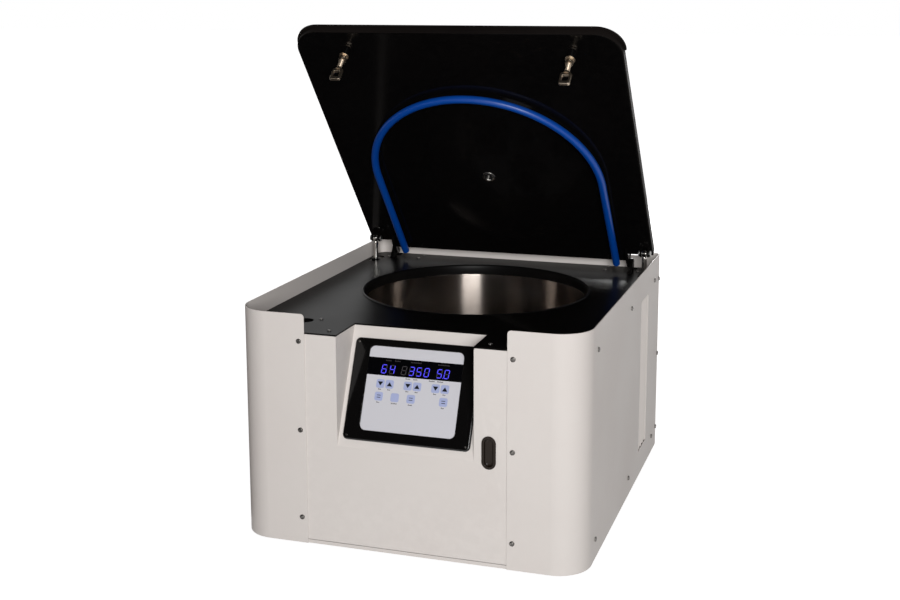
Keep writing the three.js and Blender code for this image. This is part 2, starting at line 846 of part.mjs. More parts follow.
place(cabinet, 'base_tray', 'cabinetPaint', baseTray());
for (const [word, side] of sides) place(cabinet, `${word}_side_panel`, 'cabinetPaint', sidePanel(side));
place(cabinet, 'front_panel', 'cabinetPaint', frontPanel());
place(cabinet, 'rear_panel', 'cabinetPaint', rearPanel());
place(cabinet, 'deck', 'blackPaint', deck());
for (const [word, side] of sides) {
  for (const [end, way] of [['front', -1], ['rear', 1]]) {
    place(cabinet, `foot_${end}_${word}`, 'rubber', foot(side, way));
  }
}

// Control panel, in the sloping panel's own frame: X across, Y up the slope, Z out

const controlPanel = new THREE.Group();
controlPanel.applyMatrix4(slope);
cabinet.add(controlPanel);

const bezelBack = touch;
const bezelFace = bezelBack + bezelThickness;
const fasciaFace = bezelFace - fasciaSink;
const fasciaBack = fasciaFace - fasciaThickness;
const bezelMiddle = bezelFootGap + bezelHeight / 2;
const fasciaMiddle = fasciaFootGap + fasciaHeight / 2;
const windowMiddle = windowFootGap + windowHeight / 2;
const windowHalf = fasciaWidth / 2 - windowSideGap - running;

function bezelScrewPlaces() {
  const x = bezelWidth / 2 - bezelScrewInset;
  const y = bezelHeight / 2 - bezelScrewInset;
  return [[x, y], [-x, y], [-x, -y], [x, -y]].map(([dx, dy]) => [dx, bezelMiddle + dy]);
}

function controlBezel() {
  const outline = roundedRectangle(0, bezelMiddle, bezelWidth, bezelHeight, bezelCornerRadius);
  const opening = roundedRectangle(0, fasciaMiddle, fasciaWidth, fasciaHeight, fasciaCornerRadius);
  outline.holes.push(opening);
  const frame = raised(outline, bezelBack, bezelFace);
  const heads = bezelScrewPlaces().map(([x, y]) => (
    screwHead('up', x, y, bezelFace, bezelScrewRadius, bezelScrewHeight)
  ));
  return join(frame, ...heads);
}

function keyPlaces() {
  const places = [];
  const groups = [['left', -1], ['middle', 0], ['right', 1]];
  for (const [word, group] of groups) {
    const centre = group * keyGroupPitch;
    places.push([`key_${word}_down`, centre - keyPitch / 2, upperKeyHeight]);
    places.push([`key_${word}_up`, centre + keyPitch / 2, upperKeyHeight]);
  }
  const span = keyGroupPitch + keyPitch / 2;
  lowerKeyShares.forEach((share, i) => {
    places.push([`key_lower_${i + 1}`, share * span, lowerKeyHeight]);
  });
  return places;
}

function keypadFascia() {
  const gap = running;
  const width = fasciaWidth - 2 * gap;
  const height = fasciaHeight - 2 * gap;
  const outline = roundedRectangle(0, fasciaMiddle, width, height, fasciaCornerRadius - gap);
  const low = fasciaBack - overrun;
  const high = fasciaFace + overrun;
  const half = keySize / 2 + running;
  const holes = keyPlaces().map(([, x, y]) => block(x - half, x + half, y - half, y + half, low, high));
  const rise = windowHeight / 2;
  holes.push(block(-windowHalf, windowHalf, windowMiddle - rise, windowMiddle + rise, low, high));
  return cut(raised(outline, fasciaBack, fasciaFace), ...holes);
}

function displayWindow() {
  const gap = running;
  const half = windowHalf - gap;
  const rise = windowHeight / 2 - gap;
  return block(-half, half, windowMiddle - rise, windowMiddle + rise, fasciaBack, fasciaFace);
}

function keyCap(x, y) {
  const far = keySize / 2;
  const near = far - keyChamfer;
  const corners = [
    [far, near],
    [near, far],
    [-near, far],
    [-far, near],
    [-far, -near],
    [-near, -far],
    [near, -far],
    [far, -near],
  ];
  const face = fasciaFace + keyProud;
  return raised(polygon(corners.map(([dx, dy]) => [x + dx, y + dy])), face - keyThickness, face);
}

function controlBoard() {
  const top = -sheet - boardGap;
  const half = boardWidth / 2;
  const foot = fasciaMiddle - boardHeight / 2;
  const head = fasciaMiddle + boardHeight / 2;
  let board = block(-half, half, foot, head, top - boardThickness, top);
  const postX = half - boardPostRadius;
  for (const x of [-postX, postX]) {
    for (const y of [foot + boardPostRadius, head - boardPostRadius]) {
      board = board.add(rod('z', boardPostRadius, top - touch, -sheet - touch, [x, y], screwSides));
    }
  }
  const digitY = digitBlockHeight / 2;
  const digitX = digitBlockWidth / 2;
  const digitTop = fasciaBack - touch;
  const digitFoot = windowMiddle - digitY;
  board = board.add(block(-digitX, digitX, digitFoot, windowMiddle + digitY, top - touch, digitTop));
  const studTop = fasciaFace + keyProud - keyThickness - keyTravel - touch;
  for (const [, x, y] of keyPlaces()) {
    board = board.add(rod('z', switchStudRadius, top - touch, studTop, [x, y], screwSides));
  }
  return board;
}

place(controlPanel, 'control_bezel', 'blackPaint', controlBezel());
place(controlPanel, 'keypad_fascia', 'fascia', keypadFascia());
place(controlPanel, 'display_window', 'darkWindow', displayWindow());
place(controlPanel, 'control_board', 'circuitBoard', controlBoard());
for (const [name, x, y] of keyPlaces()) place(controlPanel, name, 'keyPrint', keyCap(x, y));

// Release button in its oval escutcheon

const ovalZ = cabinetBase + ovalCentreHeight;
const ovalFace = frontPanelOuter - touch - ovalFlange;
const sleeveWidth = ovalWidth - 2 * ovalRim - 2 * running;
const sleeveHeight = ovalHeight - 2 * ovalRim - 2 * running;

function releaseEscutcheon() {
  const steps = 2 * cornerSteps;
  const flangeBack = ovalFace + ovalFlange;
  const flangeOutline = obround(ovalCentreX, ovalZ, ovalWidth, ovalHeight);
  const flange = pushedY(flangeOutline, ovalFace, flangeBack, steps);
  const sleeveOutline = obround(ovalCentreX, ovalZ, sleeveWidth, sleeveHeight);
  const sleeve = pushedY(sleeveOutline, ovalFace, ovalFace + ovalSleeveLength, steps);
  const bore = obround(ovalCentreX, ovalZ, sleeveWidth - 2 * ovalWall, sleeveHeight - 2 * ovalWall);
  const cavity = pushedY(bore, ovalFace - overrun, ovalFace + ovalSleeveLength + overrun, steps);
  return cut(flange.add(sleeve), cavity);
}

function releaseButton() {
  const shrink = 2 * (ovalWall + running);
  const outline = obround(ovalCentreX, ovalZ, sleeveWidth - shrink, sleeveHeight - shrink);
  const face = ovalFace + buttonSink;
  return pushedY(outline, face, face + buttonLength, 2 * cornerSteps);
}

place(cabinet, 'release_escutcheon', 'blackPlastic', releaseEscutcheon());
place(cabinet, 'release_button', 'blackPlastic', releaseButton());

// Bowl and its rubber moulding

function bowl() {
  const inner = bowlRadius;
  const outer = bowlRadius + bowlWall;
  const flange = bowlRadius + bowlFlangeReach;
  const bend = Math.SQRT1_2;
  const floor = bowlFloorZ;
  const low = inner - bowlFillet;
  return turned([
    [flange, bowlRimTop - bowlWall],
    [flange, bowlRimTop],
    [inner, bowlRimTop],
    [inner, floor + bowlFillet],
    [low + bowlFillet * bend, floor + bowlFillet * (1 - bend)],
    [low, floor],
    [bowlBoreRadius, floor],
    [bowlBoreRadius, floor + bowlBoreLip],
    [bowlBoreRadius - bowlWall, floor + bowlBoreLip],
    [bowlBoreRadius - bowlWall, floor - bowlWall],
    [low, floor - bowlWall],
    [low + (bowlFillet + bowlWall) * bend, floor + bowlFillet - (bowlFillet + bowlWall) * bend],
    [outer, floor + bowlFillet],
    [outer, bowlRimTop - bowlWall],
    [flange, bowlRimTop - bowlWall],
  ], 0, bowlCentreY, bowlSides);
}

// The moulding rolls from the deck down to the bowl's edge.
function bowlMoulding() {
  const seat = deckHoleRadius - touch;
  const lip = deckHoleRadius + mouldingLip;
  const foot = bowlRimTop + touch;
  const crown = deckTop + touch + mouldingLipHeight;
  const reach = seat - bowlRadius;
  const fall = crown - foot;
  return turned([
    [bowlRadius, foot],
    ...mouldingShares.map(([out, up]) => [bowlRadius + reach * out, foot + fall * up]),
    [lip - mouldingLipHeight / 2, crown],
    [lip, deckTop + touch],
    [seat, deckTop + touch],
    [seat, foot],
    [bowlRadius, foot],
  ], 0, bowlCentreY, bowlSides);
}

place(cabinet, 'bowl', 'stainless', bowl());
place(cabinet, 'bowl_gasket', 'rubber', bowlMoulding());

// Motor, its plate on rubber dampers, and the spindle

const damperTop = trayFloorTop + touch + damperHeight;
const plateTop = damperTop + plateThickness;
const motorFoot = plateTop + touch;
const motorTop = motorFoot + motorHeight;
const spindleFoot = motorTop + motorBossHeight - spindleDepth;

// A steel plate with three rubber dampers bonded under it.
function motorMount() {
  const foot = trayFloorTop + touch;
  const middle = foot + damperHeight / 2;
  const dampers = [];
  for (let i = 0; i < damperCount; i += 1) {
    const angle = (2 * Math.PI * i) / damperCount + Math.PI / 2;
    const x = damperCircleRadius * Math.cos(angle);
    const y = bowlCentreY + damperCircleRadius * Math.sin(angle);
    dampers.push(turned([
      [0, foot],
      [damperRadius, foot],
      [damperWaistRadius, middle],
      [damperRadius, damperTop],
      [0, damperTop],
    ], x, y, drumSides / 2));
  }
  const carrier = rod('z', plateRadius, damperTop - touch, plateTop, [0, bowlCentreY], drumSides);
  return join(carrier, ...dampers);
}

function motor() {
  const bossTop = motorTop + motorBossHeight;
  const body = turned([
    [0, motorFoot],
    [motorShoulderRadius, motorFoot],
    [motorShoulderRadius, motorFoot + motorShoulder],
    [motorRadius, motorFoot + motorShoulder],
    [motorRadius, motorTop - motorShoulder],
    [motorShoulderRadius, motorTop - motorShoulder],
    [motorShoulderRadius, motorTop],
    [motorBossRadius, motorTop],
    [motorBossRadius * motorBossTaperShare, bossTop],
    [0, bossTop],
  ], 0, bowlCentreY, drumSides);
  const foot = spindleFoot - touch;
  const radius = spindleRadius + running;
  return cut(body, rod('z', radius, foot, bossTop + overrun, [0, bowlCentreY], drumSides));
}

function spindle() {
  const seat = spindleSeatHeight;
  const seatTop = seat + spindleSeatThickness;
  return turned([
    [0, spindleFoot],
    [spindleRadius, spindleFoot],
    [spindleRadius, seat],
    [spindleSeatRadius, seat],
    [spindleSeatRadius, seatTop],
    [spindleRadius, seatTop],
    [spindleRadius, rotorTop - touch],
    [threadRadius, rotorTop],
    [threadRadius, rotorTop + threadLength],
    [0, rotorTop + threadLength],
  ], 0, bowlCentreY, drumSides);
}

place(cabinet, 'motor_mount', 'zinc', motorMount());
place(cabinet, 'motor', 'castAluminium', motor());
place(cabinet, 'spindle', 'zinc', spindle());

// Swing out rotor: a cross with four pockets, each with two trunnions for a bucket

function rotorCross() {
  const low = rotorTop - rotorThickness;
  let cross = rod('z', rotorRadius, low, rotorTop, [0, 0], bowlSides);
  const reach = rotorRadius + overrun;
  const pocketRadius = rotorPocketHalfWidth * rotorPocketCornerShare;
  for (let i = 0; i < bucketCount; i += 1) {
    const angle = (2 * Math.PI * i) / bucketCount;
    const width = reach - rotorPocketStart;
    const middle = rotorPocketStart + width / 2;
    const outline = roundedRectangle(middle, 0, width, 2 * rotorPocketHalfWidth, pocketRadius);
    const depth = rotorThickness + 2 * overrun;
    const options = { depth, bevelEnabled: false, curveSegments: cornerSteps / 2 };
    const pocket = new THREE.ExtrudeGeometry(outline, options);
    pocket.translate(0, 0, low - overrun).rotateZ(angle);
    cross = cut(cross, solid(pocket));
  }
  for (let i = 0; i < bucketCount; i += 1) {
    const angle = (2 * Math.PI * i) / bucketCount;
    for (const side of [-1, 1]) {
      const inner = bucketRadius + running + touch;
      const length = rotorPocketHalfWidth + trunnionRadius - inner;
      const pin = new THREE.CylinderGeometry(trunnionRadius, trunnionRadius, length, pinSides);
      pin.translate(trunnionCircleRadius, side * (inner + length / 2), trunnionZ).rotateZ(angle);
      cross = cross.add(solid(pin));
    }
  }
  const hub = rod('z', rotorHubRadius, low - rotorHubDrop, rotorTop, [0, 0], drumSides);
  const radius = spindleRadius + running;
  const bore = rod('z', radius, low - rotorHubDrop - overrun, rotorTop + overrun, [0, 0], drumSides);
  return cut(cross.add(hub), bore);
}

function rotorNut() {
  const foot = rotorTop + touch;
  const nut = rod('z', nutRadius, foot, foot + nutHeight, [0, 0], nutSides);
  const boreTop = rotorTop + threadLength + touch;
  const bore = rod('z', threadRadius + running, foot - overrun, boreTop, [0, 0], drumSides);
  return cut(nut, bore);
}

// A cup that hangs on two ears, made about its own pivot and then set in its pocket.
function bucket(index) {
  const inner = bucketRadius - bucketWall;
  const profile = [
    [0, -bucketBelow],
    [bucketRadius - bucketChamfer, -bucketBelow],
    [bucketRadius, bucketChamfer - bucketBelow],
    [bucketRadius, bucketAbove],
    [inner, bucketAbove],
    [inner, bucketChamfer + bucketFloor - bucketBelow],
    [inner - bucketChamfer, bucketFloor - bucketBelow],
    [0, bucketFloor - bucketBelow],
  ];
  let cup = turned(profile, 0, 0, drumSides);
  for (const side of [-1, 1]) {
    const y0 = side > 0 ? inner + bucketWall / 2 : -bucketRadius - earReach;
    const y1 = side > 0 ? bucketRadius + earReach : -inner - bucketWall / 2;
    const wing = block(-earWidth / 2, earWidth / 2, y0, y1, -earHeight / 2, earHeight / 2);
    const curve = rod('z', bucketRadius - bucketWall / 4, -earHeight, earHeight, [0, 0], drumSides);
    cup = cup.add(cut(wing, curve));
    const holeFrom = side > 0 ? bucketRadius + touch : -bucketRadius - earReach - overrun;
    const holeTo = side > 0 ? bucketRadius + earReach + overrun : -bucketRadius - touch;
    cup = cut(cup, rod('y', trunnionRadius + running, holeFrom, holeTo, [0, 0]));
  }
  const geometry = geometryOf(cup);
  geometry.translate(trunnionCircleRadius, 0, trunnionZ);
  geometry.rotateZ((2 * Math.PI * index) / bucketCount);
  return solid(geometry);
}

const rotor = new THREE.Group();
rotor.position.set(0, bowlCentreY, 0);
cabinet.add(rotor);
place(rotor, 'rotor_cross', 'castAluminium', rotorCross());
place(rotor, 'rotor_nut', 'chrome', rotorNut());
for (let i = 0; i < bucketCount; i += 1) place(rotor, `bucket_${i + 1}`, 'castAluminium', bucket(i));

// Lid, made shut and then turned about its hinge

const hinge = new THREE.Group();
hinge.position.set(0, hingeY, hingeZ);
hinge.rotation.x = -lidOpenAngle;
cabinet.add(hinge);
const lid = new THREE.Group();
lid.position.set(0, -hingeY, -hingeZ);
hinge.add(lid);

// Plan outline of the lid, smaller by inset: round front corners, square cuts at the rear ones.
function lidOutline(inset) {
  const half = lidHalfWidth - inset;
  const front = lidFront + inset;
  const radius = lidCornerRadius - inset;
  const rear = lidRearY - inset;
  const cutX = lidRearCutHalfWidth - inset;
  const cutY = lidRearY - lidRearCut - inset;
  const outline = new THREE.Shape();
  outline.moveTo(cutX, rear);
  outline.lineTo(-cutX, rear);
  outline.lineTo(-cutX, cutY);
  outline.lineTo(-half, cutY);
  outline.absarc(-half + radius, front + radius, radius, Math.PI, 1.5 * Math.PI, false);
  outline.absarc(half - radius, front + radius, radius, 1.5 * Math.PI, 2 * Math.PI, false);
  outline.lineTo(half, cutY);
  outline.lineTo(cutX, cutY);
  outline.closePath();
  return outline;
}

function portHole() {
  const centre = [0, bowlCentreY];
  return rod('z', portRadius + running, lidUnder - overrun, lidTop + overrun, centre, drumSides);
}

function lidShell() {
  const steps = 2 * cornerSteps;
  const outer = raised(lidOutline(0), lidUnder, lidTop, steps);
  const hollow = raised(lidOutline(sheet), lidUnder - overrun, lidTop - sheet, steps);
  const width = 2 * (lidHalfWidth + noseReach);
  const length = noseLength + noseReach + lidCornerRadius;
  const noseY = lidFront - noseReach + length / 2;
  const outline = roundedRectangle(0, noseY, width, length, lidCornerRadius);
  const rounded = raised(outline, lidTop - noseThickness, lidTop, steps);
  const noseEnd = lidFront + noseLength;
  const rear = block(-cabinetWidth, cabinetWidth, noseEnd, cabinetDepth, lidUnder, lidTop + overrun);
  const nose = cut(rounded, rear, hollow);
  return cut(cut(outer, hollow).add(nose), portHole());
}

// The seal follows a U: straight legs and a half circle above the bowl's edge.
class SealPath extends THREE.Curve {
  getPoint(share) {
    const leg = lidRearY - sealEndGap - bowlCentreY;
    const arc = Math.PI * sealBend;
    const run = share * (2 * leg + arc);
    const z = lidUnder - sealStandoff;
    if (run < leg) return new THREE.Vector3(-sealBend, bowlCentreY + leg - run, z);
    if (run > leg + arc) return new THREE.Vector3(sealBend, bowlCentreY + run - leg - arc, z);
    const angle = Math.PI + (run - leg) / sealBend;
    return new THREE.Vector3(sealBend * Math.cos(angle), bowlCentreY + sealBend * Math.sin(angle), z);
  }
}

function lidSeal() {
  const section = new THREE.Shape();
  section.absarc(0, 0, sealRadius, 0, 2 * Math.PI, false);
  section.closePath();
  const options = { steps: sealSteps, curveSegments: sealSides / 2, extrudePath: new SealPath() };
  return solid(new THREE.ExtrudeGeometry(section, options));
}

// The upright rail that the seal is pushed onto.
function sealRail() {
  const rear = lidRearY - sealEndGap;
  const outer = sealBend + sealRailWidth / 2;
  const inner = sealBend - sealRailWidth / 2;
  const outline = new THREE.Shape();
  outline.moveTo(outer, rear);
  outline.lineTo(inner, rear);
  outline.absarc(0, bowlCentreY, inner, 0, Math.PI, true);
  outline.lineTo(-inner, rear);
  outline.lineTo(-outer, rear);
  outline.absarc(0, bowlCentreY, outer, Math.PI, 2 * Math.PI, false);
  outline.closePath();
  const foot = lidUnder - sealStandoff + sealRadius + touch;
  return raised(outline, foot, lidUnder + plate / 2, bowlSides / 4);
}

function hingeLug(side) {
  const inner = hingeX - hingePlate / 2 - running - lugThickness;
  const outline = new THREE.Shape();
  outline.absarc(hingeY, hingeZ, hingeEyeRadius, -Math.PI / 2, Math.PI / 2, false);
  outline.lineTo(hingeY - lugLength, lidUnder + plate / 2);
  outline.lineTo(hingeY - lugLength, lidUnder - lugDepth / 2);
  outline.lineTo(hingeY - lugLength + lugDepth, hingeZ - hingeEyeRadius);
  outline.closePath();
  const clear = touch + running;
  const linerEdge = lidRearCutHalfWidth - sheet - touch;
  const low = lidUnder - touch;
  const underRim = block(0, halfWidth, lidRearY - sheet - clear, lidRearY + clear, low, lidTop);
  const besideRim = block(linerEdge, halfWidth, hingeY - 2 * lugLength, lidRearY + clear, low, lidTop);
  const lug = cut(
    pushedX(outline, inner, inner + lugThickness, 2 * cornerSteps),
    underRim,
    besideRim,
    rod('x', hingePinRadius + running, 0, halfWidth, [hingeY, hingeZ]),
  );
  return mirrorX(lug, side);
}

// Two cheeks under the lid hold the pin of a gas strut.
function strutCheeks(side) {
  const cheeks = [-1, 1].map((way) => {
    const middle = strutX + way * (strutCheekGap + strutCheek) / 2;
    const outline = new THREE.Shape();
    outline.absarc(strutPinY, strutPinZ, strutCheekRadius, Math.PI, 2 * Math.PI, false);
    outline.lineTo(strutPinY + strutCheekRadius, lidUnder + plate / 2);
    outline.lineTo(strutPinY - strutCheekRadius, lidUnder + plate / 2);
    outline.closePath();
    return pushedX(outline, middle - strutCheek / 2, middle + strutCheek / 2);
  });
  const hole = rod('x', strutPinRadius + running, 0, halfWidth, [strutPinY, strutPinZ]);
  return mirrorX(cut(join(...cheeks), hole), side);
}

function strikerBoss(side) {
  const foot = lidUnder - strikerBossHeight;
  const spot = [side * strikerX, strikerY];
  const boss = rod('z', strikerBossRadius, foot, lidUnder + plate / 2, spot);
  const bore = rod('z', strikerStudRadius + running, foot - overrun, lidTop, spot);
  return { boss, bore };
}

function lidLiner() {
  let liner = raised(lidOutline(sheet + touch), lidUnder, lidUnder + plate, 2 * cornerSteps);
  liner = liner.add(sealRail());
  for (const side of [-1, 1]) {
    const { boss, bore } = strikerBoss(side);
    liner = cut(join(liner, hingeLug(side), strutCheeks(side), boss), bore);
  }
  return cut(liner, portHole());
}

function sightPort() {
  const inner = portRadius - portWall;
  const flangeTop = lidUnder - touch;
  const flangeFoot = flangeTop - portFlange;
  return turned([
    [inner, flangeFoot],
    [portFlangeRadius, flangeFoot],
    [portFlangeRadius, flangeTop],
    [portRadius, flangeTop],
    [portRadius, lidTop],
    [inner, lidTop],
    [inner, flangeFoot],
  ], 0, bowlCentreY, drumSides);
}

// A striker: a stud with two nuts and a flat eye that the lock's bolt goes through.
function striker(side) {
  const x = side * strikerX;
  const eyeTop = lidUnder - strikerStudLength;
  const stud = rod('z', strikerStudRadius, eyeTop - sheet, lidUnder + plate, [x, strikerY]);
  const half = strikerEyeWidth / 2;
  const y0 = strikerY - strikerEyeThickness / 2;
  const y1 = strikerY + strikerEyeThickness / 2;
  const outline = roundedRectangle(x, strikerEyeCentreZ, strikerEyeWidth, strikerEyeLength, half / 2);
  const eye = pushedY(outline, y0, y1);
  const w = strikerWindowWidth / 2;
  const h = strikerWindowLength / 2;
  const z = strikerEyeCentreZ;
  const window = block(x - w, x + w, y0 - overrun, y1 + overrun, z - h, z + h);
  const nuts = strikerNutOffsets.map((offset) => {
    const top = lidUnder - offset;
    return rod('z', strikerNutRadius, top - strikerNutHeight, top, [x, strikerY], nutSides);
  });
  return cut(join(stud, eye, ...nuts), window);
}

// The pin through a pair of cheeks, with a head at one end and a nut at the other.
function strutPin(side) {
  const outer = strutX + strutCheekGap / 2 + strutCheek + touch;
  const inner = strutX - strutCheekGap / 2 - strutCheek - touch;
  const spot = [strutPinY, strutPinZ];
  const pin = join(
    rod('x', strutPinRadius, inner - strutPinHead, outer + strutPinHead, spot),
    rod('x', strutPinHeadRadius, inner - strutPinHead, inner, spot),
    rod('x', strutPinHeadRadius, outer, outer + strutPinHead, spot, nutSides),
  );
  return mirrorX(pin, side);
}

place(lid, 'lid_shell', 'blackGloss', lidShell());
place(lid, 'lid_liner', 'blackGloss', lidLiner());
place(lid, 'lid_seal', 'blueTube', lidSeal());
place(lid, 'sight_port', 'chrome', sightPort());
for (const [word, side] of sides) place(lid, `striker_${word}`, 'chrome', striker(side));
for (const [word, side] of sides) place(lid, `strut_pin_${word}`, 'chrome', strutPin(side));

// Hinge brackets: a foot under the deck, a plate through its slot, and the pin

function hingeBracket(side) {
  const x0 = hingeX - hingePlate / 2;
  const x1 = hingeX + hingePlate / 2;
  const footTop = deckUnder - touch;
  const footLow = footTop - hingeFootThickness;
  const outline = new THREE.Shape();
  outline.absarc(hingeY, hingeZ, hingeEyeRadius, 0, Math.PI, false);
  outline.lineTo(hingeY - 2 * hingeEyeRadius, footLow);
  outline.lineTo(hingeY + 2 * hingeEyeRadius, footLow);
  outline.closePath();
  const upright = pushedX(outline, x0, x1, 2 * cornerSteps);
  const inner = hingeX - hingeFootInward;
  const outer = hingeX + hingeFootOutward;
  const foot = block(inner, outer, hingeY - hingeFootAhead, trayRear - touch, footLow, footTop);
  const spot = [hingeY, hingeZ];
  const pin = rod('x', hingePinRadius, x0 - running - lugThickness - touch, x1 + touch, spot);
  return mirrorX(join(upright, foot, pin), side);
}

for (const [word, side] of sides) {
  place(cabinet, `hinge_bracket_${word}`, 'blackPaint', hingeBracket(side));
}

// Gas struts: the linear couplings of cylinder and rod follow the lid's pin to within the
// slack in the eye, so the eye is set to share the error between the ends and the middle

function pinAt(opened) {
  const y = strutPinY - hingeY;
  const z = strutPinZ - hingeZ;
  const pinY = hingeY + y * Math.cos(opened) + z * Math.sin(opened);
  const pinZ = hingeZ - y * Math.sin(opened) + z * Math.cos(opened);
  const dy = pinY - strutFootY;
  const dz = pinZ - cabinetBase - strutFootHeight;
  return { lean: -Math.atan2(dy, dz), length: Math.hypot(dy, dz) };
}

const shutPin = pinAt(0);
const middlePin = pinAt(lidOpenAngle / 2);
const openPin = pinAt(lidOpenAngle);
const leanShare = (middlePin.lean - (shutPin.lean + openPin.lean) / 2) / 2;
const lengthShare = (middlePin.length - (shutPin.length + openPin.length) / 2) / 2;
const restLean = openPin.lean + leanShare;
const restLength = openPin.length + lengthShare;
const cylinderLength = shutPin.length - strutEyeRadius - running - 2 * touch;

function strutCylinder() {
  const foot = strutFootEyeRadius / 2;
  const body = rod('z', strutBodyRadius, foot, cylinderLength, [0, 0], pinSides);
  const eye = rod('x', strutFootEyeRadius, -strutBodyRadius, strutBodyRadius, [0, 0]);
  const boreFoot = cylinderLength - strutBoreDepth;
  const bore = rod('z', strutRodRadius + running, boreFoot, cylinderLength + overrun, [0, 0]);
  const footHole = rod('x', strutStudRadius + running, -halfWidth, halfWidth, [0, 0]);
  return cut(body.add(eye), bore, footHole);
}

function strutRod() {
  const stemTop = restLength - strutEyeRadius / 2;
  const stem = rod('z', strutRodRadius, cylinderLength - strutRodHidden, stemTop, [0, 0]);
  const half = strutEyeThickness / 2;
  const eye = rod('x', strutEyeRadius, -half, half, [0, restLength]);
  const hole = rod('x', strutPinRadius + strutEyeSlack, -halfWidth, halfWidth, [0, restLength]);
  return cut(stem.add(eye), hole);
}

for (const [word, side] of sides) {
  const strut = new THREE.Group();
  strut.position.set(side * strutX, strutFootY, cabinetBase + strutFootHeight);
  strut.rotation.x = restLean;
  cabinet.add(strut);
  place(strut, `strut_cylinder_${word}`, 'blackPlastic', strutCylinder());
  place(strut, `strut_rod_${word}`, 'chrome', strutRod());
}

// Lid locks under the striker holes

function lockHousing(side) {
  const x = side * strikerX;
  const top = deckUnder - touch;
  const foot = top - lockHeight;
  const y0 = strikerY - lockFrontGap;
  const y1 = y0 + lockLength;
  const body = block(x - lockWidth / 2, x + lockWidth / 2, y0, y1, foot, top);
  const well = rod('z', strikerHoleRadius, foot - overrun, top + overrun, [x, strikerY], drumSides);
  const half = boltWidth / 2 + running;
  const z = strikerEyeCentreZ;
  const channel = block(x - half, x + half, strikerY, y1 + overrun, z - half, z + half);
  return cut(body, well, channel);
}

function lockBolt(side) {
  const x = side * strikerX;
  const half = boltWidth / 2;
  const y0 = strikerY + strikerHoleRadius + touch;
  const z = strikerEyeCentreZ;
  return block(x - half, x + half, y0, y0 + boltLength, z - half, z + half);
}

for (const [word, side] of sides) {
  place(cabinet, `lock_housing_${word}`, 'blackPlastic', lockHousing(side));
  place(cabinet, `lock_bolt_${word}`, 'chrome', lockBolt(side));
}

// Fan behind the rear panel

const fanRear = rearPanelInner - touch;
const fanFront = fanRear - fanDepth;
const fanZ = cabinetBase + fanHeight;
const impellerRear = fanRear - fanMotorDepth - touch;

function fanHousing() {
  const half = fanSize / 2;
  const frame = block(fanX - half, fanX + half, fanFront, fanRear, fanZ - half, fanZ + half);
  const bore = rod('y', fanBoreRadius, fanFront - overrun, fanRear + overrun, [fanX, fanZ], drumSides);
  const spokeY = fanRear - fanSpokeDepth;
  const spokes = [0, 1, 2].map((i) => {
    const spoke = new THREE.BoxGeometry(2 * fanBoreRadius, fanSpokeDepth, fanSpokeWidth);
    spoke.rotateY((Math.PI * i) / 3).translate(fanX, spokeY + fanSpokeDepth / 2, fanZ);
    return solid(spoke);
  });
  const core = rod('y', fanMotorRadius, fanRear - fanMotorDepth, fanRear, [fanX, fanZ], drumSides);
  return join(cut(frame, bore), core, ...spokes);
}

function fanImpeller() {
  const front = impellerRear - fanHubDepth;
  let wheel = rod('y', fanHubRadius, front, impellerRear, [fanX, fanZ], drumSides);
  const reach = fanBladeRadius - fanHubRadius / 2;
  for (let i = 0; i < fanBladeCount; i += 1) {
    const blade = new THREE.BoxGeometry(fanBladeThickness, fanBladeChord, reach);
    blade.rotateZ(fanBladeAngle).translate(0, 0, fanHubRadius / 2 + reach / 2);
    blade.rotateY((2 * Math.PI * i) / fanBladeCount);
    blade.translate(fanX, (front + impellerRear) / 2, fanZ);
    wheel = wheel.add(solid(blade));
  }
  return wheel;
}

place(cabinet, 'fan_housing', 'blackPlastic', fanHousing());
place(cabinet, 'fan_impeller', 'blackPlastic', fanImpeller());

// Power entry with its inlet and rocker switch

const entryZ = cabinetBase + entryHeight;
const entryFace = rearPanelOuter + touch + entryFlange;
const inletX = entryX + inletShare * entryWidth;
const rockerX = entryX + rockerShare * entryWidth;

function powerEntry() {
  const w = entryWidth / 2;
  const h = entryTall / 2;
  const innerW = w - entryMargin - running;
  const innerH = h - entryMargin - running;
  const back = entryFace - entryDepth;
  const flangeBack = rearPanelOuter + touch;
  const foot = entryZ - innerH;
  const flange = block(entryX - w, entryX + w, flangeBack, entryFace, entryZ - h, entryZ + h);
  const body = block(entryX - innerW, entryX + innerW, back, entryFace, foot, entryZ + innerH);
  const halfInlet = inletWidth / 2;
  const inletTop = inletTall / 2;
  const pocketY = entryFace - inletDepth;
  const x0 = inletX - halfInlet;
  const x1 = inletX + halfInlet;
  const mouth = entryFace + overrun;
  const pocket = block(x0, x1, pocketY, mouth, entryZ - inletTop, entryZ + inletTop);
  const rw = rockerWidth / 2 + running;
  const rh = rockerTall / 2 + running;
  const rockerY = entryFace - rockerPocketDepth;
  const seat = block(rockerX - rw, rockerX + rw, rockerY, mouth, entryZ - rh, entryZ + rh);
  let entry = cut(flange.add(body), pocket, seat);
  for (const i of [-1, 0, 1]) {
    const x = inletX + i * inletPinPitch;
    const z = entryZ + (i === 0 ? inletPinWidth : -inletPinWidth);
    const pinW = inletPinWidth / 2;
    const pinH = inletPinTall / 2;
    const tip = entryFace - inletPinTall;
    entry = entry.add(block(x - pinW, x + pinW, pocketY - touch, tip, z - pinH, z + pinH));
  }
  return entry;
}

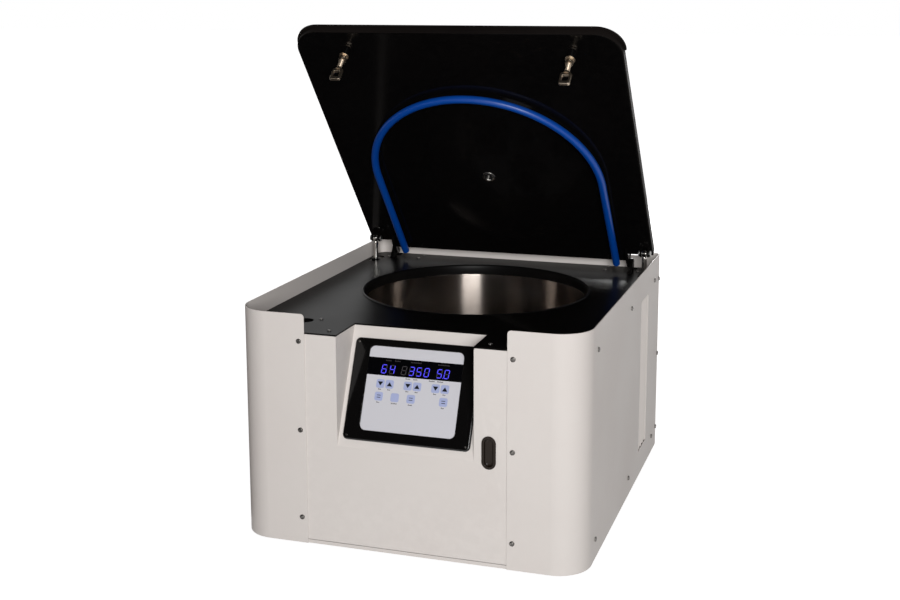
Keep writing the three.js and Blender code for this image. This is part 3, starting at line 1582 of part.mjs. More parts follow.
// The rocker's section is a fan about its pivot, so that it turns in its seat.
function mainsRocker() {
  const pivotY = -rockerDepth;
  const reach = rockerTall / 2 - 2 * running;
  const outline = polygon([
    [pivotY / 2, -reach * rockerFootShare],
    [0, -reach],
    [rockerRise, -reach],
    [-rockerRise, 0],
    [rockerRise, reach],
    [0, reach],
    [pivotY / 2, reach * rockerFootShare],
  ]);
  const options = { depth: rockerWidth, bevelEnabled: false };
  const geometry = new THREE.ExtrudeGeometry(outline, options);
  geometry.rotateY(Math.PI / 2).rotateX(Math.PI / 2).translate(-rockerWidth / 2, 0, 0);
  return solid(geometry);
}

place(cabinet, 'power_entry', 'blackPlastic', powerEntry());
const rocker = new THREE.Group();
rocker.position.set(rockerX, entryFace, entryZ);
rocker.rotation.x = rockerTilt;
cabinet.add(rocker);
place(rocker, 'mains_rocker', 'blackPlastic', mainsRocker());

// Power board on four posts

function powerBoard() {
  const low = trayFloorTop + touch;
  const top = low + powerPostHeight;
  const x0 = powerBoardX - powerBoardWidth / 2;
  const x1 = powerBoardX + powerBoardWidth / 2;
  const y0 = powerBoardY - powerBoardLength / 2;
  const y1 = powerBoardY + powerBoardLength / 2;
  let board = block(x0, x1, y0, y1, top, top + boardThickness);
  for (const x of [x0 + powerPostInset, x1 - powerPostInset]) {
    for (const y of [y0 + powerPostInset, y1 - powerPostInset]) {
      board = board.add(rod('z', powerPostRadius, low, top + touch, [x, y], screwSides));
    }
  }
  const face = top + boardThickness;
  const coilX = x0 + powerPostInset + coilSize / 2;
  const coilY = y0 + 2 * powerPostInset + coilSize / 2;
  const half = coilSize / 2;
  const sunk = face - touch;
  const coilTop = face + coilHeight;
  board = board.add(block(coilX - half, coilX + half, coilY - half, coilY + half, sunk, coilTop));
  for (let i = 0; i < capacitorCount; i += 1) {
    const y = coilY + coilSize + capacitorRadius / 2 + i * capacitorPitch;
    board = board.add(rod('z', capacitorRadius, sunk, face + capacitorHeight, [coilX, y]));
  }
  return board;
}

place(cabinet, 'power_board', 'circuitBoard', powerBoard());

export default centrifuge;
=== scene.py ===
import json
import math

import bmesh
import bpy
from mathutils import Matrix, Vector


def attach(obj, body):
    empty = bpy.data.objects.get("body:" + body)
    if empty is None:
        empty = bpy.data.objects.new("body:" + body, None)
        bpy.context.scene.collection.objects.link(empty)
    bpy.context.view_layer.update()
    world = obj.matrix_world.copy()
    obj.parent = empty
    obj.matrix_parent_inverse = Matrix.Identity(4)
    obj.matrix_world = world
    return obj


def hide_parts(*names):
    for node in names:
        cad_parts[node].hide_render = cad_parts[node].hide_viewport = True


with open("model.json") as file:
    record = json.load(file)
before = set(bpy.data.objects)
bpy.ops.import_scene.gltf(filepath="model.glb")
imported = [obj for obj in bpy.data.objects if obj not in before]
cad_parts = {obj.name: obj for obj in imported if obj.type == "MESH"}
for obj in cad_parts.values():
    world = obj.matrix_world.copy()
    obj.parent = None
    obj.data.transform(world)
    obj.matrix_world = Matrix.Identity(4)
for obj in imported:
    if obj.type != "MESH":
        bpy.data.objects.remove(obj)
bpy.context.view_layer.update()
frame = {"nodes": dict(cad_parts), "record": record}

bl_info = {
    "name": "Benchtop centrifuge",
    "version": (1, 0, 0),
    "blender": (4, 5, 0),
    "location": "View3D > Sidebar > Centrifuge",
    "description": "Dresses the packed centrifuge with detailed sheet metal, glass, rubber "
                   "and steel",
    "category": "Add Mesh",
}

MM = 0.001
FINISHES = {}
SIDES = (("left", -1), ("right", 1))

# How near points are: near enough to be merged, and near enough to count as one spot
WELD = 0.01 * MM
TOUCH = 0.02 * MM

# How a piece that was made pointing up, or lying flat, is turned
TURN_FRONT = (math.radians(90), 0, 0)
TURN_REAR = (math.radians(-90), 0, 0)
TURN_RIGHT = (0, math.radians(90), 0)
TURN_LEFT = (0, math.radians(-90), 0)
STAND_ACROSS = (math.pi / 2, 0, math.pi / 2)

# Cabinet, in metres: +X to the right, +Y to the back, +Z up
HALF_WIDTH = 250 * MM
HALF_DEPTH = 285 * MM
PANEL_FOOT = 8 * MM
PANEL_TOP = 338 * MM
FLANGE_X = 144 * MM
FLANGE_ROUND = 5 * MM
REAR_FLANGE_X = 224 * MM
REAR_CORNER = 10 * MM
DECK_TOP = 312 * MM
DECK_UNDER = 310 * MM
FOOT_X = 188 * MM
FOOT_Y = 223 * MM

# Screws: on the front and rear flanges, along the sides, and on the deck in millimetres
FRONT_SCREW_X = 152 * MM
REAR_SCREW_X = 232 * MM
FLANGE_SCREW_Z = (46 * MM, 173 * MM, 299.7 * MM)
SIDE_SCREW_Y = (-215.5 * MM, 26.2 * MM, 230.3 * MM)
SIDE_SCREW_Z = (37 * MM, 303 * MM)
LAST_SCREW_Y = 271 * MM
LAST_SCREW_Z = (41 * MM, 169.7 * MM, 297.7 * MM)
DECK_SCREWS = ((151.5, -207.5), (115.2, -264.4), (164.5, 245), (164.5, 274), (219, 245),
               (219, 274))

# Front panel with its sloping recess and the oval of the release
FACE_Y = -283.2 * MM
FACE_FOOT = 14 * MM
FACE_TOP = 309.7 * MM
FACE_HALF = 166 * MM
RECESS_HALF = 98 * MM
RECESS_FOOT = 155 * MM
RECESS_TILT = math.radians(24.4)
RECESS_LENGTH = (FACE_TOP - RECESS_FOOT) / math.cos(RECESS_TILT)
OVAL_X = 119 * MM
OVAL_Z = 168.5 * MM
OVAL_HALF = (8 * MM, 21 * MM)

# Vent in the right side: the front, rear, foot and top of its window, and its blades
VENT = (111.15 * MM, 175.15 * MM, 49 * MM, 293 * MM)
SLAT_COUNT = 4
SLAT_ANGLE = math.radians(42)
SLAT_OVERLAP = 1.16
SLAT_HALF = 0.6 * MM

# Rear panel with the fan and the mains inlet
REAR_FACE = 283.2 * MM
FAN = (-120 * MM, 113 * MM)
FAN_BORE = 43 * MM
FAN_SLOTS = 9
FAN_FRONT = 256.4 * MM
FAN_REAR = 281.4 * MM
ENTRY = (150 * MM, 74 * MM)
ENTRY_FACE = 285 * MM
INLET_X = 161.6 * MM
ROCKER_X = 134.34 * MM
FAN_HOLE = 41.5 * MM
FAN_HALF = 46 * MM
FAN_BLADES = 7
FAN_WHEEL_Y = 268.1 * MM

# Bowl and drive
BOWL = (0.0, 48 * MM)
BOWL_RADIUS = 173 * MM
BOWL_RIM = 297.5 * MM
BOWL_FLANGE = 184 * MM
DECK_HOLE = 175 * MM
ROTOR_TOP = 240.3 * MM
ROTOR_LOW = 222.3 * MM
ROTOR_RADIUS = 113 * MM
POCKET_HALF = 34 * MM
POCKET_START = 38 * MM
POCKET_CORNER = POCKET_HALF / 3
TRUNNION_RADIUS = 3.8 * MM
TRUNNION_CIRCLE = 78 * MM
TRUNNION_Z = 231.3 * MM
HUB_BORE = 9.8 * MM

# Lid, drawn shut and then opened about its hinge
HINGE = Vector((0.0, 248 * MM, 326 * MM))
HINGE_EYE = 7.5 * MM
OPEN_ANGLE = math.radians(-49)
OPEN_LID = (Matrix.Translation(HINGE) @ Matrix.Rotation(OPEN_ANGLE, 4, "X")
            @ Matrix.Translation(-HINGE))
LID_UNDER = 329 * MM
LID_TOP = 342 * MM
LID_HALF = 246 * MM
LID_FRONT = -261 * MM
LID_REAR = 246.5 * MM
LID_CORNER = 40 * MM
LID_CUT_X = 205.5 * MM
LID_CUT_Y = 228.5 * MM
PORT_HOLE = 8.3 * MM
SEAL_BEND = 185 * MM
SEAL_REAR = 242.5 * MM
STRIKER = (171 * MM, -219.5 * MM)

# Gas struts: their foot, their pin in the lid as (y, z), and their lean when the lid is open
STRUT_X = 234 * MM
STRUT_FOOT = Vector((0.0, 215 * MM, 128 * MM))
STRUT_PIN = (214.5 * MM, 321.4 * MM)
STRUT_LEAN = math.radians(-1.59342)
STRUT_PLACE = {side: (Matrix.Translation(STRUT_FOOT + Vector((side * STRUT_X, 0, 0)))
                      @ Matrix.Rotation(STRUT_LEAN, 4, "X")) for side in (-1, 1)}

# Control panel, drawn lying flat and then set on the slope; its rows are in millimetres
SLOPE = (Matrix.Translation((0, FACE_Y, RECESS_FOOT))
         @ Matrix.Rotation(math.pi / 2 - RECESS_TILT, 4, "X"))
PRINT_HEIGHT = 3.52 * MM
BAND = (102 * MM, 126.6 * MM)
# Keys: name, place across, place up the slope, and where the arrow points
KEYS = (
    ("key_left_down", -46.7, 90.5, "down"), ("key_left_up", -33.3, 90.5, "up"),
    ("key_middle_down", -6.7, 90.5, "down"), ("key_middle_up", 6.7, 90.5, "up"),
    ("key_right_down", 33.3, 90.5, "down"), ("key_right_up", 46.7, 90.5, "up"),
    ("key_lower_1", -46.7, 73.0, None), ("key_lower_2", -23.35, 73.0, None),
    ("key_lower_3", 0.0, 73.0, None), ("key_lower_4", 46.7, 73.0, None),
)
LEGEND_KEYS = ("key_lower_1", "key_lower_3", "key_lower_4")
# Rows of print: place across, place up the slope, and width
KEY_LEGENDS = (
    [(x, 82.6, 4.4) for x in (-46.7, -33.3, -6.7, 6.7, 33.3, 46.7)]
    + [(-46.7, 64.6, 4.4), (-23.35, 64.6, 8.6), (0, 64.6, 5.8), (46.7, 64.6, 4.4)]
    + [(-7.7, 99.8, 7.0), (3.1, 99.8, 6.4), (26.8, 99.8, 8.4), (39.0, 99.8, 8.4)])
WINDOW_LEGENDS = ((-38.9, 123.0, 8.5), (-25.6, 123.0, 8.5), (1.6, 123.0, 15.5),
                  (41.4, 123.0, 17.0))
MARK_HEIGHTS = (1.7, 1.2, 1.2, 1.6, 1.2, 1.5, 1.2)
# Which segments each figure lights, and the figures with their places across
SEGMENTS = {"0": "abcdef", "3": "abcdg", "4": "bcfg", "5": "acdfg", "6": "acdefg", " ": ""}
READOUT = (("6", -44.1), ("4", -32.3), (" ", -15.1), ("3", -4.0), ("5", 6.7), ("0", 17.8),
           ("5", 36.2), ("0", 46.6))

# Stage: the camera as fitted to the photograph, the lamps, the world and the dark cards
CAMERA_PLACE = (0.5959, -1.9081, 0.7759)
CAMERA_YAW = 0.3154
CAMERA_PITCH = 0.1757
CAMERA_ROLL = 0.0024
CAMERA_LENS = 53.54
CAMERA_SENSOR = 36.0
CAMERA_SHIFT = -0.0835
# Lamps: name, place, target, width, height and watts
LAMPS = (
    ("key_box", (1.08, -2.65, 1.0), (0, 0.048, 0.3), 1.0, 1.0, 61),
    ("back_fill", (0, 2.9, 0.55), (0, 0.3, 0.2), 0.8, 0.6, 26),
)
WORLD_TINT = (1.0, 0.91, 0.88, 1)
WORLD_LEVEL = 0.2
WHITE = (1, 1, 1, 1)
FLOOR_GREY = (0.45, 0.45, 0.45, 1)
FLOOR_DROP = 0.2 * MM
# Cards: name, place, size and turn
CARDS = (
    ("card_front", (0, -7, 5.2), (26, 8.6, 1), (math.pi / 2, 0, 0)),
    ("card_top", (0, -2.5, 9.4), (26, 9.2, 1), (0, 0, 0)),
    ("card_left", (-9, -3, 4.8), (9, 9.4, 1), (math.pi / 2, 0, math.pi / 2)),
    ("card_right", (9, -3, 4.8), (9, 9.4, 1), (math.pi / 2, 0, math.pi / 2)),
    ("card_floor_left", (-1.9, -0.2, 0.003), (3.2, 3.6, 1), (0, 0, 0)),
)


class CentrifugeSizes(bpy.types.PropertyGroup):
    """Sizes that a user may change."""

    sheet: bpy.props.FloatProperty(
        name="Sheet", description="Thickness of the painted sheet metal",
        default=1.5 * MM, min=0.5 * MM, max=4 * MM, unit="LENGTH")
    front_corner: bpy.props.FloatProperty(
        name="Front corner", description="Radius of the cabinet's large front corners",
        default=47 * MM, min=5 * MM, max=80 * MM, unit="LENGTH")
    edge: bpy.props.FloatProperty(
        name="Sheet edge", description="Rounding of the cut edges of the sheet metal",
        default=0.4 * MM, min=0.1 * MM, max=0.7 * MM, unit="LENGTH")
    screw_radius: bpy.props.FloatProperty(
        name="Screw head", description="Radius of a screw head",
        default=3.6 * MM, min=2 * MM, max=6 * MM, unit="LENGTH")
    screw_height: bpy.props.FloatProperty(
        name="Screw height", description="Height of a screw head",
        default=2.0 * MM, min=1 * MM, max=4 * MM, unit="LENGTH")
    tube_radius: bpy.props.FloatProperty(
        name="Seal tube", description="Radius of the blue seal tube in the lid",
        default=6 * MM, min=3 * MM, max=8 * MM, unit="LENGTH")
    key_size: bpy.props.FloatProperty(
        name="Key", description="Width of a key on the panel",
        default=11.88 * MM, min=8 * MM, max=12 * MM, unit="LENGTH")
    digit_height: bpy.props.FloatProperty(
        name="Digit", description="Height of a digit on the display",
        default=12.6 * MM, min=8 * MM, max=18 * MM, unit="LENGTH")


class CentrifugeColours(bpy.types.PropertyGroup):
    """Colours that a user may change."""

    cabinet: bpy.props.FloatVectorProperty(
        name="Cabinet", description="Powder coat of the cabinet",
        default=(0.705, 0.668, 0.638), subtype="COLOR", min=0, max=1)
    tube: bpy.props.FloatVectorProperty(
        name="Seal tube", description="Colour of the seal tube in the lid",
        default=(0.000, 0.056, 0.330), subtype="COLOR", min=0, max=1)
    membrane: bpy.props.FloatVectorProperty(
        name="Membrane", description="Ground colour of the key panel",
        default=(0.600, 0.600, 0.640), subtype="COLOR", min=0, max=1)
    keys: bpy.props.FloatVectorProperty(
        name="Keys", description="Colour of the keys",
        default=(0.380, 0.430, 0.660), subtype="COLOR", min=0, max=1)
    digits: bpy.props.FloatVectorProperty(
        name="Digits", description="Colour of the lit digits",
        default=(0.085, 0.070, 1.000), subtype="COLOR", min=0, max=1)


def sizes():
    return bpy.context.scene.centrifuge_sizes


def colours():
    return bpy.context.scene.centrifuge_colours


# Shader node groups: each is built once and placed in every finish that needs it

def node_group(name, inputs, outputs):
    """Makes an empty shader group with named sockets."""
    group = bpy.data.node_groups.new(name, "ShaderNodeTree")
    for label, kind, value in inputs:
        socket = group.interface.new_socket(label, in_out="INPUT", socket_type=kind)
        socket.default_value = value
    for label, kind in outputs:
        group.interface.new_socket(label, in_out="OUTPUT", socket_type=kind)
    start = group.nodes.new("NodeGroupInput")
    end = group.nodes.new("NodeGroupOutput")
    return group, start, end


def math_node(tree, kind, first, second):
    """Adds a math node whose inputs are links or numbers."""
    node = tree.nodes.new("ShaderNodeMath")
    node.operation = kind
    for place, value in enumerate((first, second)):
        if isinstance(value, bpy.types.NodeSocket):
            tree.links.new(value, node.inputs[place])
        else:
            node.inputs[place].default_value = value
    return node.outputs[0]


def spread(tree, value, low, high, to_low=0.0, to_high=1.0):
    """Spreads the part of a value between two limits over a new range."""
    node = tree.nodes.new("ShaderNodeMapRange")
    tree.links.new(value, node.inputs["Value"])
    settings = {"From Min": low, "From Max": high, "To Min": to_low, "To Max": to_high}
    for label, limit in settings.items():
        if isinstance(limit, bpy.types.NodeSocket):
            tree.links.new(limit, node.inputs[label])
        else:
            node.inputs[label].default_value = limit
    return node.outputs["Result"]


def mix_colours(tree, share, first, second):
    """Mixes two colours, given as links or values, by a share."""
    node = tree.nodes.new("ShaderNodeMix")
    node.data_type = "RGBA"
    tree.links.new(share, node.inputs["Factor"])
    for label, value in (("A", first), ("B", second)):
        socket = next(s for s in node.inputs if s.name == label and s.type == "RGBA")
        if isinstance(value, bpy.types.NodeSocket):
            tree.links.new(value, socket)
        else:
            socket.default_value = value
    return next(s for s in node.outputs if s.type == "RGBA")


def grain_group():
    """Fine texture on the object's own coordinates, stretched where it is brushed."""
    group, start, end = node_group(
        "grain",
        [("Scale", "NodeSocketFloat", 400.0), ("Stretch", "NodeSocketVector", (1, 1, 1))],
        [("Fine", "NodeSocketFloat"), ("Broad", "NodeSocketFloat")])
    place = group.nodes.new("ShaderNodeTexCoord")
    mapping = group.nodes.new("ShaderNodeMapping")
    group.links.new(place.outputs["Object"], mapping.inputs["Vector"])
    group.links.new(start.outputs["Stretch"], mapping.inputs["Scale"])
    fine = group.nodes.new("ShaderNodeTexNoise")
    fine.inputs["Detail"].default_value = 4.0
    fine.inputs["Roughness"].default_value = 0.62
    group.links.new(mapping.outputs["Vector"], fine.inputs["Vector"])
    group.links.new(start.outputs["Scale"], fine.inputs["Scale"])
    broad = group.nodes.new("ShaderNodeTexNoise")
    broad.inputs["Scale"].default_value = 7.0
    broad.inputs["Detail"].default_value = 3.0
    group.links.new(place.outputs["Object"], broad.inputs["Vector"])
    group.links.new(fine.outputs["Fac"], end.inputs["Fine"])
    group.links.new(broad.outputs["Fac"], end.inputs["Broad"])


def edge_wear_group():
    """A mask of the outer edges, broken up as handling wears them."""
    group, start, end = node_group(
        "edge_wear",
        [("Amount", "NodeSocketFloat", 0.5)],
        [("Mask", "NodeSocketFloat")])
    shape = group.nodes.new("ShaderNodeNewGeometry")
    place = group.nodes.new("ShaderNodeTexCoord")
    patches = group.nodes.new("ShaderNodeTexNoise")
    patches.inputs["Scale"].default_value = 90.0
    patches.inputs["Detail"].default_value = 5.0
    group.links.new(place.outputs["Object"], patches.inputs["Vector"])
    ridge = spread(group, shape.outputs["Pointiness"], low=0.53, high=0.62)
    broken = spread(group, patches.outputs["Fac"], low=0.38, high=0.66)
    mask = math_node(group, "MULTIPLY", ridge, broken)
    mask = math_node(group, "MULTIPLY", mask, start.outputs["Amount"])
    group.links.new(mask, end.inputs["Mask"])


def handled_group():
    """Grain, broad colour variation and edge wear together, for any finish."""
    group, start, end = node_group(
        "handled_surface",
        [("Colour", "NodeSocketColor", (0.5, 0.5, 0.5, 1)),
         ("Varied", "NodeSocketColor", (0.4, 0.4, 0.4, 1)),
         ("Worn", "NodeSocketColor", (0.6, 0.6, 0.6, 1)),
         ("Smoothest", "NodeSocketFloat", 0.3), ("Roughest", "NodeSocketFloat", 0.4),
         ("Scale", "NodeSocketFloat", 400.0), ("Stretch", "NodeSocketVector", (1, 1, 1)),
         ("Variation", "NodeSocketFloat", 0.5), ("Wear", "NodeSocketFloat", 0.5)],
        [("Colour", "NodeSocketColor"), ("Roughness", "NodeSocketFloat"),
         ("Height", "NodeSocketFloat")])
    grain = group.nodes.new("ShaderNodeGroup")
    grain.node_tree = bpy.data.node_groups["grain"]
    group.links.new(start.outputs["Scale"], grain.inputs["Scale"])
    group.links.new(start.outputs["Stretch"], grain.inputs["Stretch"])
    wear = group.nodes.new("ShaderNodeGroup")
    wear.node_tree = bpy.data.node_groups["edge_wear"]
    group.links.new(start.outputs["Wear"], wear.inputs["Amount"])
    broad = spread(group, grain.outputs["Broad"], low=0.35, high=0.68)
    fine = spread(group, grain.outputs["Fine"], low=0.3, high=0.7)
    patchy = math_node(group, "MULTIPLY", broad, start.outputs["Variation"])
    speckle = math_node(group, "MULTIPLY", fine, start.outputs["Variation"])
    share = math_node(group, "MAXIMUM", patchy, math_node(group, "MULTIPLY", speckle, 0.6))
    tinted = mix_colours(group, share, start.outputs["Colour"], start.outputs["Varied"])
    worn = mix_colours(group, wear.outputs["Mask"], tinted, start.outputs["Worn"])
    uneven = math_node(group, "ADD", math_node(group, "MULTIPLY", fine, 0.6),
                       math_node(group, "MULTIPLY", broad, 0.4))
    rough = spread(group, uneven, low=0.0, high=1.0, to_low=start.outputs["Smoothest"],
                   to_high=start.outputs["Roughest"])
    group.links.new(worn, end.inputs["Colour"])
    group.links.new(rough, end.inputs["Roughness"])
    group.links.new(grain.outputs["Fine"], end.inputs["Height"])


def solid_colour(colour):
    return (*colour[:3], 1.0)


def scaled(colour, share):
    return tuple(min(1.0, part * share) for part in colour[:3])


def tint(colour, other):
    """The other colour, or a share of the first where the other is a number."""
    return solid_colour(other if isinstance(other, tuple) else scaled(colour, other))


def finish(name, colour, rough=(0.3, 0.4), scale=400.0, stretch=(1, 1, 1), depth=0.02 * MM,
           strength=0.3, varied=0.9, worn=1.2, variation=0.5, wear=0.4, **shader):
    """Makes a finish from the handled surface group, with the shader's own plain values."""
    material = bpy.data.materials.new(f"{name}_finish")
    FINISHES[name] = material
    material.use_nodes = True
    tree = material.node_tree
    principled = tree.nodes["Principled BSDF"]
    surface = tree.nodes.new("ShaderNodeGroup")
    surface.node_tree = bpy.data.node_groups["handled_surface"]
    settings = {"Colour": solid_colour(colour), "Varied": tint(colour, varied),
                "Worn": tint(colour, worn), "Smoothest": rough[0], "Roughest": rough[1],
                "Scale": scale, "Stretch": stretch, "Variation": variation, "Wear": wear}
    for label, value in settings.items():
        surface.inputs[label].default_value = value
    bump = tree.nodes.new("ShaderNodeBump")
    bump.inputs["Strength"].default_value = strength
    bump.inputs["Distance"].default_value = depth
    tree.links.new(surface.outputs["Colour"], principled.inputs["Base Color"])
    tree.links.new(surface.outputs["Roughness"], principled.inputs["Roughness"])
    tree.links.new(surface.outputs["Height"], bump.inputs["Height"])
    tree.links.new(bump.outputs["Normal"], principled.inputs["Normal"])
    for label, value in shader.items():
        principled.inputs[label.replace("_", " ")].default_value = value
    return material


def add_radial_brushing(material):
    """Turns the highlight of a turned part across its circular brush marks."""
    tree = material.node_tree
    tangent = tree.nodes.new("ShaderNodeTangent")
    tangent.direction_type = "RADIAL"
    tangent.axis = "Z"
    tree.links.new(tangent.outputs["Tangent"], tree.nodes["Principled BSDF"].inputs["Tangent"])


def glow(name, colour, strength):
    """Makes the finish of a lit segment."""
    material = finish(name, scaled(colour, 0.2), rough=(0.4, 0.5), variation=0.1, wear=0.0)
    principled = material.node_tree.nodes["Principled BSDF"]
    principled.inputs["Emission Color"].default_value = solid_colour(colour)
    principled.inputs["Emission Strength"].default_value = strength


def make_finishes():
    """Makes every finish once. The names match the record's slots where one is meant."""
    grain_group()
    edge_wear_group()
    handled_group()
    tone = colours()
    finish("cabinet_paint", tone.cabinet, rough=(0.34, 0.46), scale=1500.0, depth=0.03 * MM,
           strength=0.25, varied=(0.665, 0.612, 0.582), worn=(0.76, 0.72, 0.69), variation=0.35,
           wear=0.35, Specular_IOR_Level=0.08)
    finish("black_paint", (0.002, 0.0017, 0.0016), rough=(0.27, 0.35), scale=1800.0, strength=0.2,
           varied=(0.0032, 0.0028, 0.0026), worn=(0.03, 0.028, 0.026), variation=0.6, wear=0.5,
           Specular_IOR_Level=0.032)
    # The lid shell's black: a lighter base colour than the liner's and almost no gloss, a painted
    # sheen in place of the reflection on its edges
    finish("lid_shell_black_painted_sheen", (0.012, 0.0098, 0.009), scale=1200.0, strength=0.15,
           varied=(0.0035, 0.003, 0.003), worn=(0.012, 0.011, 0.01), variation=0.6, wear=0.5,
           Specular_IOR_Level=0.008)
    finish("lid_black", (0.0022, 0.002, 0.0021), rough=(0.09, 0.15), scale=1200.0, depth=0.01 * MM,
           strength=0.08, varied=(0.0035, 0.003, 0.003), worn=(0.012, 0.011, 0.01), variation=0.6,
           wear=0.5, Specular_IOR_Level=0.16)
    stainless = finish("stainless", (0.5, 0.45, 0.41), rough=(0.18, 0.25), scale=2.2,
                       stretch=(3, 3, 900), depth=0.01 * MM, strength=0.05,
                       varied=(0.37, 0.31, 0.27), worn=(0.7, 0.66, 0.6), variation=0.8, wear=0.2,
                       Metallic=1.0, Anisotropic=1.0, Anisotropic_Rotation=0.25)
    add_radial_brushing(stainless)
    finish("chrome", (0.6, 0.58, 0.55), rough=(0.1, 0.22), scale=900.0, depth=0.01 * MM,
           strength=0.2, varied=(0.52, 0.49, 0.44), worn=(0.8, 0.78, 0.74), wear=0.3, Metallic=1.0)
    finish("brassy_zinc", (0.42, 0.34, 0.26), rough=(0.34, 0.46), scale=900.0, depth=0.015 * MM,
           strength=0.25, varied=(0.38, 0.32, 0.25), worn=(0.7, 0.64, 0.54), variation=0.7,
           wear=0.5, Metallic=1.0)
    finish("zinc", (0.47, 0.46, 0.44), rough=(0.26, 0.4), scale=700.0, depth=0.015 * MM,
           varied=(0.36, 0.35, 0.34), worn=(0.62, 0.61, 0.6), variation=0.7, Metallic=1.0)
    finish("rubber", (0.003, 0.0028, 0.0028), rough=(0.3, 0.42), scale=1400.0, depth=0.04 * MM,
           varied=(0.0045, 0.004, 0.004), worn=(0.014, 0.013, 0.013), variation=0.6,
           Specular_IOR_Level=0.08)
    finish("blue_tube", tone.tube, rough=(0.3, 0.42), scale=600.0, strength=0.15, varied=0.82,
           worn=1.25, wear=0.1, Specular_IOR_Level=0.4)
    finish("fascia", tone.membrane, rough=(0.32, 0.42), scale=2600.0, strength=0.2, varied=0.97,
           worn=1.05, variation=0.3, wear=0.1, Specular_IOR_Level=0.3)
    finish("key_print", tone.keys, rough=(0.34, 0.44), scale=2600.0, strength=0.2, varied=0.94,
           worn=1.08, variation=0.3, wear=0.3, Specular_IOR_Level=0.3)
    finish("ink", (0.006, 0.006, 0.008), rough=(0.4, 0.5), scale=2600.0, depth=0.01 * MM,
           variation=0.2, wear=0.0, Specular_IOR_Level=0.2)
    finish("dark_window", (0.0012, 0.0012, 0.0018), rough=(0.12, 0.2), scale=2000.0,
           depth=0.005 * MM, strength=0.1, varied=1.6, worn=2.0, variation=0.4, wear=0.1,
           Specular_IOR_Level=0.2)
    finish("black_plastic", (0.003, 0.0028, 0.0028), rough=(0.07, 0.13), scale=1500.0,
           strength=0.12, varied=1.5, worn=(0.02, 0.02, 0.02), Specular_IOR_Level=0.4)
    finish("dull_plastic", (0.008, 0.0078, 0.0076), rough=(0.34, 0.46), scale=1500.0,
           depth=0.04 * MM, varied=1.5, worn=(0.03, 0.03, 0.03), Specular_IOR_Level=0.3)
    finish("smoked_plastic", (0.02, 0.013, 0.009), rough=(0.06, 0.16), scale=420.0,
           depth=0.12 * MM, strength=0.5, varied=0.55, worn=(0.12, 0.1, 0.09), variation=0.7,
           wear=0.5, Specular_IOR_Level=0.16)
    finish("socket_steel", (0.2, 0.19, 0.18), rough=(0.24, 0.36), scale=900.0, depth=0.015 * MM,
           strength=0.25, varied=(0.13, 0.12, 0.11), worn=(0.4, 0.39, 0.37), variation=0.7,
           wear=0.5, Metallic=1.0)
    finish("white_mark", (0.62, 0.62, 0.62), rough=(0.4, 0.5), variation=0.2, wear=0.1,
           Specular_IOR_Level=0.2)
    finish("circuit_board", (0.01, 0.06, 0.03), rough=(0.3, 0.45), scale=500.0, depth=0.05 * MM,
           strength=0.4, varied=1.5, worn=1.5, variation=0.6, wear=0.3)
    finish("cast_aluminium", (0.5, 0.5, 0.5), rough=(0.3, 0.46), scale=500.0, depth=0.06 * MM,
           strength=0.45, varied=(0.38, 0.38, 0.39), worn=(0.68, 0.68, 0.68), variation=0.7,
           wear=0.5, Metallic=0.5)
    glow("lit_segment", tone.digits, 1.05)
    finish("unlit_segment", (0.036, 0.031, 0.034), rough=(0.4, 0.5), variation=0.2, wear=0.0)


# Modelling steps, as a modeller takes them by hand

def start_piece(name, add=None, **where):
    """Adds a primitive, or nothing but an empty mesh, and opens it for editing."""
    if bpy.context.mode != "OBJECT":
        bpy.ops.object.mode_set(mode="OBJECT")
    bpy.ops.object.select_all(action="DESELECT")
    if add is None:
        bpy.ops.mesh.primitive_plane_add(size=MM)
    else:
        add(**where)
    piece = bpy.context.object
    piece.name = name
    piece.data.name = name
    bpy.ops.object.mode_set(mode="EDIT")
    if add is None:
        bpy.ops.mesh.delete(type="VERT")
    return piece


def end_piece(piece):
    """Closes the mesh and leaves only this piece selected."""
    if bpy.context.mode != "OBJECT":
        bpy.ops.object.mode_set(mode="OBJECT")
    bpy.ops.object.select_all(action="DESELECT")
    bpy.context.view_layer.objects.active = piece
    piece.select_set(True)
    return piece


def pick(test, kind="FACE"):
    """Selects what passes the test among the faces, edges or points being edited."""
    mesh = bpy.context.edit_object.data
    cage = bmesh.from_edit_mesh(mesh)
    bpy.ops.mesh.select_mode(type=kind)
    for group in (cage.verts, cage.edges, cage.faces):
        for item in group:
            item.select = False
    items = {"VERT": cage.verts, "EDGE": cage.edges, "FACE": cage.faces}[kind]
    count = 0
    for item in items:
        if test(item):
            item.select = True
            count += 1
    cage.select_flush_mode()
    bmesh.update_edit_mesh(mesh)
    if not count:
        raise RuntimeError(f"nothing was picked on {bpy.context.edit_object.name}")


def select_all():
    bpy.ops.mesh.select_all(action="SELECT")


def face_outwards():
    """Turns every face of the mesh being edited the same way, outwards where it is closed."""
    select_all()
    bpy.ops.mesh.normals_make_consistent(inside=False)


def weld(distance=WELD):
    """Merges the points that lie on each other."""
    select_all()
    bpy.ops.mesh.remove_doubles(threshold=distance)


def round_edges(width, segments):
    """Bevels the selected edges."""
    bpy.ops.mesh.bevel(offset=width, segments=segments, affect="EDGES")


def pull(x, y, z):
    """Extrudes what is selected."""
    bpy.ops.mesh.extrude_region_move(TRANSFORM_OT_translate={"value": (x, y, z)})


def middle(edge):
    return (edge.verts[0].co + edge.verts[1].co) / 2


def draw(points, closed=False):
    """Draws a line through the points, each pulled out of the last."""
    bpy.ops.mesh.select_all(action="DESELECT")
    bpy.ops.mesh.select_mode(type="VERT")
    bpy.ops.mesh.primitive_plane_add(size=MM, location=points[0])
    bpy.ops.mesh.merge(type="CENTER")
    for here, there in zip(points, points[1:]):
        pull(*(Vector(there) - Vector(here)))
    if closed:
        ends = (Vector(points[0]), Vector(points[-1]))
        pick(lambda v: not v.link_faces
             and min((v.co - end).length for end in ends) < TOUCH, "VERT")
        bpy.ops.mesh.edge_face_add()


